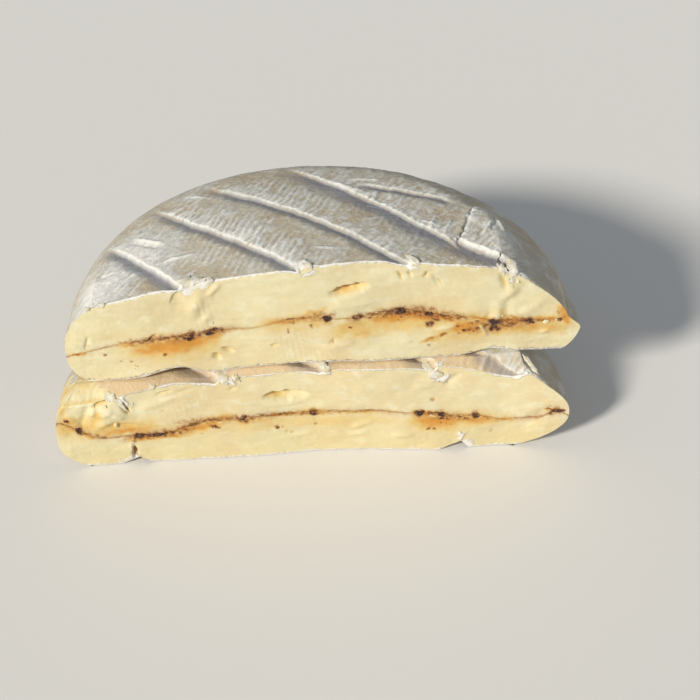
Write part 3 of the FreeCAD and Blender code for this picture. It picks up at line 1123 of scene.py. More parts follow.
@dataclass
class Crumbs:
    """Crumbs half sunk in a cut face, as one mesh."""

    name: str
    half: HalfRound
    clusters: tuple[Cluster, ...]
    seed: int
    slot_name: str = "filling"
    round_off: float = 0.35
    weld: float = 0.0001

    @staticmethod
    def _ball() -> tuple[Array, Array]:
        """Corners and triangles of a ball of radius 1."""
        ball = bmesh.new()
        bmesh.ops.create_icosphere(ball, subdivisions=2, radius=1.0)
        points = np.array([v.co[:] for v in ball.verts])
        faces = np.array([[v.index for v in f.verts] for f in ball.faces])
        ball.free()
        return points, faces

    def _lump(self, rng: np.random.Generator, ball: Array, size: float) -> Array:
        """One uneven, turned crumb."""
        noise = Noise(int(rng.integers(1 << 30)))
        x, y, z = ball.T
        swell = 1 + Rough(self.round_off, 1.1, 2).at(noise, x * 2 + z, y * 2 - z)
        stretch = rng.uniform(0.65, 1.35, 3)
        turn = Matrix.Rotation(rng.uniform(0, math.pi), 3, Vector(rng.normal(size=3)))
        return (ball * swell[:, None] * stretch * size) @ np.array(turn)

    def build(self, maker: MeshMaker, material: Material) -> bpy.types.Object:
        """Makes the crumbs' object and ties it to the model."""
        rng = np.random.default_rng(self.seed)
        ball, triangles = self._ball()
        points, faces, dark = [], [], []
        for cluster in [cluster for cluster in self.clusters for _ in range(cluster.count)]:
            x = cluster.x + cluster.spread_x * rng.uniform(-1, 1)
            z = cluster.z + cluster.spread_z * np.clip(rng.normal() * 0.6, -1.3, 1.3)
            size = cluster.size * rng.uniform(0.45, 1.15)
            y = float(self.half.face(np.array(x), np.array(z)))
            lump = self._lump(rng, ball, size) + [x, y + size * (0.5 - cluster.proud), z]
            faces.append(triangles + len(points) * len(ball))
            points.append(lump)
            dark.append(np.full(len(ball), cluster.dark * rng.uniform(0.75, 1.0)))
        piece = maker.make(self.name, np.concatenate(points), np.concatenate(faces),
                           {"dark": np.concatenate(dark)}, material, weld=self.weld)
        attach(piece, "root")
        LOG.info("%s: %d crumbs, %d faces", self.name, len(points), len(piece.data.polygons))
        return piece


@dataclass(frozen=True)
class Rag:
    """A shred of rind that the knife dragged over the edge of a cut face.

    Back and down are its lengths on the rind and on the face, and the leans how far it drifts sideways
    over each.
    """

    x: float
    back: float
    down: float
    width: float
    lean_back: float = 0.0
    lean_down: float = 0.0
    thickness: float = 0.4
    proud: float = 0.35


@dataclass
class Rags:
    """The rind shreds along one layer's front edge, as one mesh."""

    name: str
    layer: Layer
    rags: tuple[Rag, ...]
    seed: int
    steps: int = 26
    width_points: int = 9
    first_height: float = 30.0
    ragged: Rough = Rough(0.45, 1.3, 3)
    uneven: Rough = Rough(0.5, 1.2, 2)
    crumple: Rough = Rough(0.16, 1.3, 2)

    def _path(self, rag: Rag) -> tuple[Array, Array]:
        """Middle line of a shred and the way it faces, from the rind to its tip on the cut face."""
        layer, face = self.layer, self.layer.half.face
        s = np.linspace(-rag.back, rag.down, self.steps)
        on_top, on_face = np.clip(-s, 0, None), np.clip(s, 0, None)
        x = rag.x + rag.lean_back * on_top + rag.lean_down * on_face
        middle = np.full(1, rag.x, float)
        edge_z = layer.upper(middle, face(middle, self.first_height))[0]
        y = face(x, edge_z - on_face) + on_top
        z = layer.skin_height(x, y) - on_face
        tilt = 0.5 * math.pi * ramp(s, -0.9, 0.9)
        return np.stack([x, y, z], -1), np.stack([0 * s, -np.sin(tilt), np.cos(tilt)], -1)

    def _ring(self, rag: Rag, number: int, noise: Noise) -> Array:
        """Loops of points round one shred, (steps, loop, 3) in mm."""
        across = np.linspace(-1, 1, self.width_points)
        path, facing = self._path(rag)
        path[:, 1:] = _smoothed(path[:, 1:], 3)
        side = np.cross(np.gradient(path, axis=0), facing)
        side /= np.linalg.norm(side, axis=-1, keepdims=True)
        t = np.linspace(0, 1, len(path))
        taper = ramp(t, 0, 0.25) * ramp(1 - t, 0, 0.45)
        ragged = 1 + self.ragged.at(noise, t * 9 + 40 * number, 0.0)
        half = 0.5 * rag.width * np.clip(taper * ragged, 0.05, None)
        lift = (rag.proud * taper * (1 + self.uneven.at(noise, t * 7, float(number))))[:, None]
        crumple = self.crumple.at(noise, t[:, None] * 6 + 9 * number, across[None])
        out = lift + crumple * taper[:, None] - 0.35 * rag.proud * across[None] ** 2
        outer = path[:, None] + side[:, None] * (half[:, None] * across[None])[..., None]
        outer = outer + facing[:, None] * out[..., None]
        thickness = rag.thickness * np.clip(1.15 - across ** 2, 0.15, 1)
        inner = outer - facing[:, None] * thickness[None, :, None]
        return np.concatenate([outer, inner[:, ::-1]], 1)

    def build(self, maker: MeshMaker, material: Material) -> bpy.types.Object:
        """Makes the shreds' object and ties it to the model."""
        noise = Noise(self.seed)
        points, faces, count = [], [], 0
        for number, rag in enumerate(self.rags):
            ring = self._ring(rag, number, noise)
            steps, loop = ring.shape[:2]
            points.append(ring.reshape(-1, 3))
            faces.extend((tube_quads(steps, loop) + count).tolist())
            for first in (count, count + (steps - 1) * loop):
                faces.extend([first + k, first + k + 1, first + loop - 2 - k, first + loop - 1 - k]
                             for k in range(self.width_points - 1))
            count += steps * loop
        piece = maker.make(self.name, np.concatenate(points), faces, {}, material)
        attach(piece, "root")
        LOG.info("%s: %d shreds, %d faces", self.name, len(self.rags), len(piece.data.polygons))
        return piece


def _smoothed(values: Array, passes: int) -> Array:
    """Averages each row with its neighbours, keeping both ends."""
    values = values.copy()
    for _ in range(passes):
        values[1:-1] = 0.5 * values[1:-1] + 0.25 * (values[:-2] + values[2:])
    return values


# ---- Finishes ----
Color = tuple[float, float, float, float]


def shade(red: int, green: int, blue: int) -> Color:
    """A colour given as it should look on screen, 0 to 255, as linear values."""
    def linear(value: float) -> float:
        """One channel from screen to linear."""
        value /= 255
        return value / 12.92 if value <= 0.04045 else ((value + 0.055) / 1.055) ** 2.4
    return linear(red), linear(green), linear(blue), 1.0


class NodeBench:
    """Lays nodes out in a tree and wires them."""

    def __init__(self, tree: Tree) -> None:
        """Takes the tree to work on."""
        self.tree = tree

    def node(self, kind: str, inputs: dict[str | int, object] | None = None, **settings: object) -> Node:
        """Adds a node.

        Args:
            kind: the node's type without "ShaderNode".
            inputs: values or sockets for its inputs, by name or number.
            settings: the node's own settings.

        Returns:
            The node.
        """
        made = self.tree.nodes.new("ShaderNode" + kind)
        for key, value in settings.items():
            setattr(made, key, value)
        for key, value in (inputs or {}).items():
            self.feed(made.inputs[key], value)
        return made

    def feed(self, socket: Socket, value: object) -> None:
        """Gives a socket a value or wires another socket to it."""
        if isinstance(value, Socket):
            self.tree.links.new(value, socket)
        else:
            socket.default_value = value

    def math(self, operation: str, first: object, second: object = 0.0, clamp: bool = False) -> Socket:
        """Adds a sum of two values."""
        return self.node("Math", {0: first, 1: second}, operation=operation, use_clamp=clamp).outputs[0]

    def times(self, first: object, second: object, clamp: bool = False) -> Socket:
        """Adds a product of two values."""
        return self.math("MULTIPLY", first, second, clamp)

    def plus(self, first: object, second: object, clamp: bool = False) -> Socket:
        """Adds an addition of two values."""
        return self.math("ADD", first, second, clamp)

    def mix(self, share: object, low: object, high: object) -> Socket:
        """Adds a blend of two colours."""
        return self.node("Mix", {0: share, 6: low, 7: high}, data_type="RGBA", clamp_factor=True).outputs[2]

    def step(self, value: object, low: object, high: object) -> Socket:
        """Adds a smooth step from 0 to 1."""
        return self.node("MapRange", {"Value": value, "From Min": low, "From Max": high},
                         interpolation_type="SMOOTHSTEP").outputs[0]

    def mask(self, name: str) -> Socket:
        """Reads one of the mesh's own masks."""
        return self.node("Attribute", attribute_name=name).outputs["Fac"]

    def clouds(self, size: object, stretch: object, detail: float, roughness: float) -> Socket:
        """Adds noise over the piece's own place, with patches of a size in mm."""
        place = self.node("TexCoord").outputs["Object"]
        place = self.node("VectorMath", {0: place, 1: stretch}, operation="MULTIPLY").outputs[0]
        scale = self.math("DIVIDE", 1 / MM, size)
        return self.node("TexNoise", {"Vector": place, "Scale": scale, "Detail": detail,
                                      "Roughness": roughness}).outputs[0]

    def group(self, tree: Tree, **inputs: object) -> Socket:
        """Places a shared effect and gives its result."""
        made = self.node("Group", node_tree=tree)
        for key, value in inputs.items():
            self.feed(made.inputs[key], value)
        return made.outputs[0]


@dataclass
class SharedEffects:
    """The effects that more than one finish uses, each a node group built once."""

    built: dict[str, Tree] = field(default_factory=dict)

    def _group(self, name: str, inputs: dict[str, object], result: str,
               fill: Callable[[NodeBench, dict[str, Socket]], Socket]) -> Tree:
        """Gives a group, and builds it if it isn't there yet.

        Args:
            name: the group's name.
            inputs: its inputs' values, a colour where there are four numbers, a vector where there are three.
            result: the name of its only output, a colour if it is called "Color".
            fill: wires the inputs up and returns the result.

        Returns:
            The node group.
        """
        if name not in self.built:
            tree = self.built[name] = bpy.data.node_groups.new(name, "ShaderNodeTree")
            for key, value in inputs.items():
                kind = {3: "NodeSocketVector", 4: "NodeSocketColor"}.get(np.size(value), "NodeSocketFloat")
                tree.interface.new_socket(key, in_out="INPUT", socket_type=kind).default_value = value
            kind = "NodeSocketColor" if result == "Color" else "NodeSocketFloat"
            tree.interface.new_socket(result, in_out="OUTPUT", socket_type=kind)
            bench = NodeBench(tree)
            given, made = tree.nodes.new("NodeGroupInput"), tree.nodes.new("NodeGroupOutput")
            bench.feed(made.inputs[0], fill(bench, {key: given.outputs[key] for key in inputs}))
        return self.built[name]

    def blotches(self) -> Tree:
        """Cloudy patches: Size in mm, Stretch across and up, and the noise values they start and end at."""
        return self._group(
            "blotches", {"Size": 5.0, "Stretch": (1, 1, 1), "Low": 0.4, "High": 0.6}, "Mask",
            lambda bench, given: bench.step(bench.clouds(given["Size"], given["Stretch"], 3.0, 0.55),
                                            given["Low"], given["High"]))

    def grain(self) -> Tree:
        """Fine unevenness as a height: Size in mm, Stretch, and Depth."""
        return self._group(
            "grain", {"Size": 1.0, "Stretch": (1, 1, 1), "Depth": 1.0}, "Height",
            lambda bench, given: bench.times(bench.clouds(given["Size"], given["Stretch"], 4.0, 0.6),
                                             given["Depth"]))

    def juice(self) -> Tree:
        """Amber juice and dark spice over a base colour."""
        def fill(bench: NodeBench, given: dict[str, Socket]) -> Socket:
            """Stains the base in steps, from light juice to dark spice."""
            soak, char = given["Soak"], given["Char"]
            color = bench.mix(bench.step(soak, 0.0, 0.45), given["Base"], given["Light"])
            color = bench.mix(bench.step(soak, 0.3, 0.95), color, given["Amber"])
            color = bench.mix(bench.step(soak, 0.95, 1.35), color, given["Deep"])
            color = bench.mix(bench.times(bench.step(char, 0.0, 0.6), 0.8), color, given["Deep"])
            return bench.mix(bench.step(char, 0.3, 0.95), color, given["Dark"])

        white = (1, 1, 1, 1)
        return self._group("juice", {"Base": white, "Soak": 0.0, "Char": 0.0, "Light": white, "Amber": white,
                                     "Deep": white, "Dark": (0, 0, 0, 1)}, "Color", fill)


@dataclass(frozen=True)
class JuiceColors:
    """The amber colours of the soaked paste."""

    light: Color = shade(228, 197, 126)
    amber: Color = shade(219, 155, 66)
    deep: Color = shade(166, 98, 42)
    dark: Color = shade(62, 42, 38)

    def over(self, bench: NodeBench, effects: SharedEffects, base: object, soak: object,
             char: object) -> Socket:
        """Stains a base colour with the juice."""
        return bench.group(effects.juice(), Base=base, Soak=soak, Char=char, Light=self.light,
                           Amber=self.amber, Deep=self.deep, Dark=self.dark)


def new_material(name: str, roughness: float, soft: float) -> tuple[Material, NodeBench, Node]:
    """Starts a material.

    Args:
        name: the finish's name.
        roughness: the Principled shader's own roughness where nothing feeds it.
        soft: how much light passes under the surface.

    Returns:
        The material, a bench on its tree and its Principled shader.
    """
    material = bpy.data.materials.new(name)
    material.use_nodes = True
    material.node_tree.nodes.clear()
    bench = NodeBench(material.node_tree)
    shader = bench.node("BsdfPrincipled", {"Roughness": roughness, "Specular IOR Level": 0.35,
                                           "Subsurface Weight": soft, "Subsurface Scale": 0.0012,
                                           "Subsurface Radius": (1.0, 0.7, 0.35)})
    bench.node("OutputMaterial", {"Surface": shader.outputs[0]})
    return material, bench, shader


def roughen(bench: NodeBench, shader: Node, height: Socket, strength: float = 0.8) -> None:
    """Lets a height in mm tilt a material's surface."""
    bump = bench.node("Bump", {"Height": height, "Strength": strength, "Distance": MM})
    bench.feed(shader.inputs["Normal"], bump.outputs[0])


@dataclass(frozen=True)
class CheeseFinish:
    """The layers' finish: cream paste, stained near the filling, in a tan rind with white bloom."""

    paste: Color = shade(233, 222, 178)
    paste_warm: Color = shade(230, 211, 164)
    paste_pale: Color = shade(238, 231, 196)
    # colour of the holes' floors, also used for the painted shade low on the lower face
    hollow: Color = shade(224, 201, 134)
    rind: Color = shade(196, 188, 168)
    rind_warm: Color = shade(195, 179, 151)
    bloom: Color = shade(219, 217, 207)
    # white of the groove lips: bloom, partly a painted highlight on the lit walls
    lip: Color = shade(240, 235, 224)
    # painted shade colour of the groove floors and the crack, blue-grey like sky-lit shade
    gully: Color = shade(144, 145, 152)
    # painted warm bounce light on the lower rind strip under the upper half
    bounce_light: Color = shade(226, 198, 154)
    juice: JuiceColors = JuiceColors()
    soft: float = 0.12
    roughness: float = 0.5
    wet_gloss: float = 0.16
    rind_roughness: float = 0.3

    def build(self, effects: SharedEffects) -> Material:
        """Makes the material."""
        material, bench, shader = new_material("cheese", self.roughness, self.soft)
        mix, times, plus = bench.mix, bench.times, bench.plus

        def patch(size: float, low: float, high: float, stretch: Sequence[float] = (1, 1, 1)) -> Socket:
            """One cloudy mask."""
            return bench.group(effects.blotches(), Size=size, Low=low, High=high, Stretch=stretch)

        def uneven(size: float) -> Socket:
            """Cloudy patches from -0.5 to 0.5."""
            return bench.math("SUBTRACT", patch(size, 0.3, 0.7), 0.5)

        def grain(size: float, depth: float, stretch: Sequence[float] = (1, 1, 1)) -> Socket:
            """One fine unevenness."""
            return bench.group(effects.grain(), Size=size, Depth=depth, Stretch=stretch)

        soak, char = bench.mask("soak"), bench.mask("char")
        paste = mix(patch(18.0, 0.35, 0.65), self.paste, self.paste_warm)
        paste = mix(times(patch(4.0, 0.48, 0.7, (1, 1, 1.6)), 0.6), paste, self.paste_pale)
        # holes, and painted shade low on the lower face
        paste = mix(times(bench.mask("hollow"), 0.6), paste, self.hollow)
        soaked = bench.node("Math", {0: uneven(2.0), 1: 0.3, 2: 1.0}, operation="MULTIPLY_ADD").outputs[0]
        soaked = times(soak, soaked, clamp=True)
        broken = times(char, plus(times(patch(0.9, 0.3, 0.65), 0.6), 0.5), clamp=True)
        paste = self.juice.over(bench, effects, paste, soaked, broken)

        skin = mix(patch(9.0, 0.42, 0.62), self.rind, self.rind_warm)
        # painted warm bounce light near the upper half's face
        skin = mix(times(bench.mask("bounce_light"), 0.85), skin, self.bounce_light)
        furred = plus(bench.mask("bloom"), times(uneven(1.0), 0.2), clamp=True)
        skin = mix(bench.step(furred, 0.15, 0.75), skin, self.bloom)
        # the whitest bloom takes the lip white, which on the groove walls is partly a painted highlight
        skin = mix(bench.step(furred, 0.72, 1.0), skin, self.lip)
        # painted shade in the grooves and the plate's crack
        skin = mix(times(bench.mask("gully"), 0.8), skin, self.gully)
        skin = self.juice.over(bench, effects, skin, soak, char)
        is_rind = bench.step(plus(bench.mask("rind"), times(uneven(0.9), 0.3)), 0.35, 0.65)
        bench.feed(shader.inputs["Base Color"], mix(is_rind, paste, skin))

        wet = times(bench.step(soak, 0.1, 0.7), self.wet_gloss)
        rough = bench.math("SUBTRACT", self.roughness, wet)
        rough = plus(rough, times(is_rind, self.rind_roughness), clamp=True)
        bench.feed(shader.inputs["Roughness"], rough)
        fur = plus(grain(0.55, 0.16), grain(1.8, 0.25))
        roughen(bench, shader, plus(times(fur, is_rind), grain(1.5, 0.08, (1, 1, 2.4))), 0.9)
        return material


@dataclass(frozen=True)
class FillingFinish:
    """The filling's finish: amber jelly with dark spice in it."""

    pale: Color = shade(206, 180, 138)
    juice: JuiceColors = JuiceColors()

    def build(self, effects: SharedEffects) -> Material:
        """Makes the material."""
        material, bench, shader = new_material("filling", 0.36, 0.1)
        spots = bench.group(effects.blotches(), Size=1.1, Low=0.42, High=0.6)
        clouds = bench.group(effects.blotches(), Size=5.0, Low=0.35, High=0.65)
        char = bench.times(bench.mask("char"), bench.plus(bench.times(spots, 0.5), 0.7), clamp=True)
        soak = bench.plus(bench.mask("soak"), bench.times(clouds, 0.2), clamp=True)
        bench.feed(shader.inputs["Base Color"], self.juice.over(bench, effects, self.pale, soak, char))
        roughen(bench, shader, bench.group(effects.grain(), Size=0.8, Depth=0.25))
        return material


@dataclass(frozen=True)
class CrumbFinish:
    """Finish of the spice crumbs, from amber to nearly black."""

    amber: Color = shade(170, 104, 50)
    brown: Color = shade(124, 76, 46)
    black: Color = shade(66, 45, 40)

    def build(self, effects: SharedEffects) -> Material:
        """Makes the material."""
        material, bench, shader = new_material("spice", 0.45, 0.0)
        clouds = bench.group(effects.blotches(), Size=0.7, Low=0.35, High=0.65)
        dark = bench.mask("dark")
        color = bench.mix(bench.step(dark, 0.1, 0.5), self.amber, self.brown)
        color = bench.mix(bench.step(dark, 0.45, 0.9), color, self.black)
        color = bench.mix(bench.times(clouds, 0.3), color, self.brown)
        bench.feed(shader.inputs["Base Color"], color)
        roughen(bench, shader, bench.group(effects.grain(), Size=0.3, Depth=0.2))
        return material


@dataclass(frozen=True)
class ShredFinish:
    """Finish of torn rind and loose paste: warm white with cream in its folds."""

    white: Color = shade(236, 230, 216)
    cream: Color = shade(226, 212, 176)
    name: str = "torn_rind"

    def build(self, effects: SharedEffects) -> Material:
        """Makes the material."""
        material, bench, shader = new_material(self.name, 0.7, 0.15)
        clouds = bench.group(effects.blotches(), Size=1.3, Low=0.4, High=0.62)
        bench.feed(shader.inputs["Base Color"], bench.mix(clouds, self.white, self.cream))
        roughen(bench, shader, bench.group(effects.grain(), Size=0.5, Depth=0.22))
        return material


# ---- The whole cheese ----
@dataclass(frozen=True)
class CutFace:
    """A cut face: how far its middle or its ends stand forward, how it leans, and the knife's ripple."""

    middle: Point
    radius: float
    bulge: float = 0.0
    flare: float = 0.0
    lean: float = 0.0
    height: float = 25.4
    ripple_from: float = 0.0
    ripples: tuple[tuple[float, float, float, float], ...] = ((2.0, 1.6, 0.35, 0.8), (3.0, 1.1, 0.15, 2.6))

    def at(self, x: Array, z: Array) -> Array:
        """How far back the face is."""
        out = np.clip(np.abs(x - self.middle[0]) / self.radius, 0, 1)
        up = np.clip(z / self.height, 0, 1)
        ripple = sum(a * np.sin(2 * math.pi * (kx * (x + self.ripple_from) + kz * z) / 100 + phase)
                     for kx, kz, a, phase in self.ripples)
        return (self.middle[1] - self.bulge * (1 - out ** 2) - self.flare * out ** 2
                + self.lean * up ** 2 + ripple)


@dataclass(frozen=True)
class Arch:
    """A place where the upper half's lower edge has lifted off the half below."""

    x: float
    left: float
    right: float
    height: float

    def at(self, x: Array) -> Array:
        """How far the edge has lifted."""
        return self.height * hill(x, self.x, np.where(x < self.x, self.left, self.right))


@dataclass
class Camembert:
    """The two stacked half rounds."""

    radius: float = 56.0
    spread: float = 1.1
    upper_middle: Point = (-1.0, 0.0)
    lower_middle: Point = (-4.2, -3.5)
    seam_height: float = 25.4
    edge_slope: float = 0.55
    right_slope: float = 0.75
    left_rise: float = 0.45
    clearance: float = 0.03
    arches: tuple[Arch, ...] = several(Arch, (-31.8, 13.0, 7.5, 2.9), (0.5, 20.0, 20.0, 0.7),
                                       (36.5, 6.0, 9.0, 1.2))
    arch_reach: float = 5.0

    def __post_init__(self) -> None:
        """Sets out the levels, the cut faces and the two halves."""
        lower_radius = self.radius + self.spread
        ux, uy = self.upper_middle
        lx, ly = self.lower_middle
        ground = Level(0.0, 0.0, (lx, ly), lower_radius)
        lower_fill = Level(10.8, 2.0, (lx + 10, ly), lower_radius, (Wave(1.15, 0.4, 1.5, 1.6),))
        self.seam = Level(self.seam_height, 2.0, (ux + 24, uy), self.radius, (Wave(1.5, 1.2, 0.3, 2.4),))
        upper_fill = Level(38.0, 6.0, (ux + 10, uy), self.radius, (Wave(1.9, 0.8, 0.8, 0.14),))
        top = Level(53.0, 9.0, (ux + 9, uy - 5.6), self.radius, (Wave(1.7, 1.1, 0.3, 1.7),))
        self.upper_face = CutFace(self.upper_middle, self.radius, bulge=1.5)
        self.lower_face = CutFace(self.lower_middle, self.radius, flare=1.5, lean=1.0, ripple_from=56.0)
        self.upper = HalfRound(self.upper_middle, self.radius, self.seam, upper_fill, top,
                               (Corner(4.5), Corner(4.5)), (Corner(6.5), Corner(15.0, 1.6)),
                               Tuck(0.0, 3.0, -3.0, 4.0), self.upper_face.at)
        self.lower = HalfRound(self.lower_middle, lower_radius, ground, lower_fill, self.seam,
                               (Corner(6.5), Corner(12.0, 2.0)), (Corner(8.0), Corner(9.0, 2.0)),
                               Tuck(-2.0, 3.5, 2.0, 11.0), self.lower_face.at)

    def shift(self) -> tuple[float, float, float]:
        """Where the cheese's own middle lies in the frame, from the upper filling's box."""
        low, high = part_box("upper_filling")
        angle = np.linspace(0, math.pi, 721)
        x, y = self.upper.around(angle, self.upper.rim_radius(angle, self.upper.widest(angle)))
        return ((low.x + high.x) / 2 / MM - (x.min() + x.max()) / 2, high.y / MM - y.max(), 0.0)

    def seam_top(self, x: Array, y: Array) -> Array:
        """Outside of the lower half's rind: level under the upper half, fallen in front of it."""
        edge = self.upper_face.at(x, self.seam_height)
        slope = self.edge_slope + self.right_slope * hill(x, 38.0, 14.0)
        slope = slope - self.left_rise * hill(x, -36.0, 15.0)
        return np.where(y < edge, self.seam.at(x, edge) + slope * (y - edge),
                        self.seam.at(x, y)) - self.clearance

    def seam_base(self, x: Array, y: Array) -> Array:
        """Underside of the upper half, lifted in shallow arches along its front edge."""
        depth = np.clip(y - self.upper_face.at(x, self.seam_height), 0, None)
        lift = sum(arch.at(x) for arch in self.arches)
        return self.seam.at(x, y) + lift * bell(depth, self.arch_reach)


@dataclass
class DressedHalf:
    """A half round with its marks: two layers with the filling between, crumbs, and torn rind.

    A subclass gives the marks, placed one by one.  Each row holds one mark's values in the order
    of its kind's fields, in mm on the cheese.
    """

    cheese: Camembert
    name: str
    line: FillingLine
    face_relief: FaceRelief
    stains: Stains
    rind_relief: RindRelief
    rags: tuple[Rag, ...]
    spice: tuple[Cluster, ...]
    loose: tuple[Cluster, ...]
    spice_seed: int
    loose_seed: int
    rag_seed: int

    def half(self) -> HalfRound:
        """The plain half round under the marks."""
        raise NotImplementedError

    def layers(self, body: FillingBody) -> tuple[Layer, Layer]:
        """The layers above and below the filling."""
        raise NotImplementedError

    def _layer(self, part: str, lower: Surface, upper: Surface, side: Side, **more: object) -> Layer:
        """One layer of the half's paste."""
        name = f"{self.name}_{part}"
        return Layer(name, name + "_layer", self.half(), lower, upper, side, self.line, self.stains,
                     self.face_relief, **more)

    def build(self, maker: MeshMaker, finishes: dict[str, Material]) -> None:
        """Builds and dresses every piece of the half."""
        half = self.half()
        body = FillingBody(half, self.line, self.cheese.clearance)
        top, bottom = self.layers(body)
        filling = Layer(f"{self.name}_filling_sheet", f"{self.name}_filling", half, body.base, body.top,
                        Side.NEITHER, self.line, self.stains, columns=560, face_rows=8, upper_rows=14,
                        lower_rows=14, slot_name="filling")
        top.build(maker, finishes["cheese"])
        bottom.build(maker, finishes["cheese"])
        filling.build(maker, finishes["filling"])
        spice = Crumbs(f"{self.name}_spice", half, self.spice, self.spice_seed)
        spice.build(maker, finishes["spice"])
        loose = Crumbs(f"{self.name}_loose_paste", half, self.loose, self.loose_seed, "paste", round_off=0.5)
        loose.build(maker, finishes["loose_paste"])
        Rags(f"{self.name}_rind_shreds", top, self.rags, self.rag_seed).build(maker, finishes["torn_rind"])


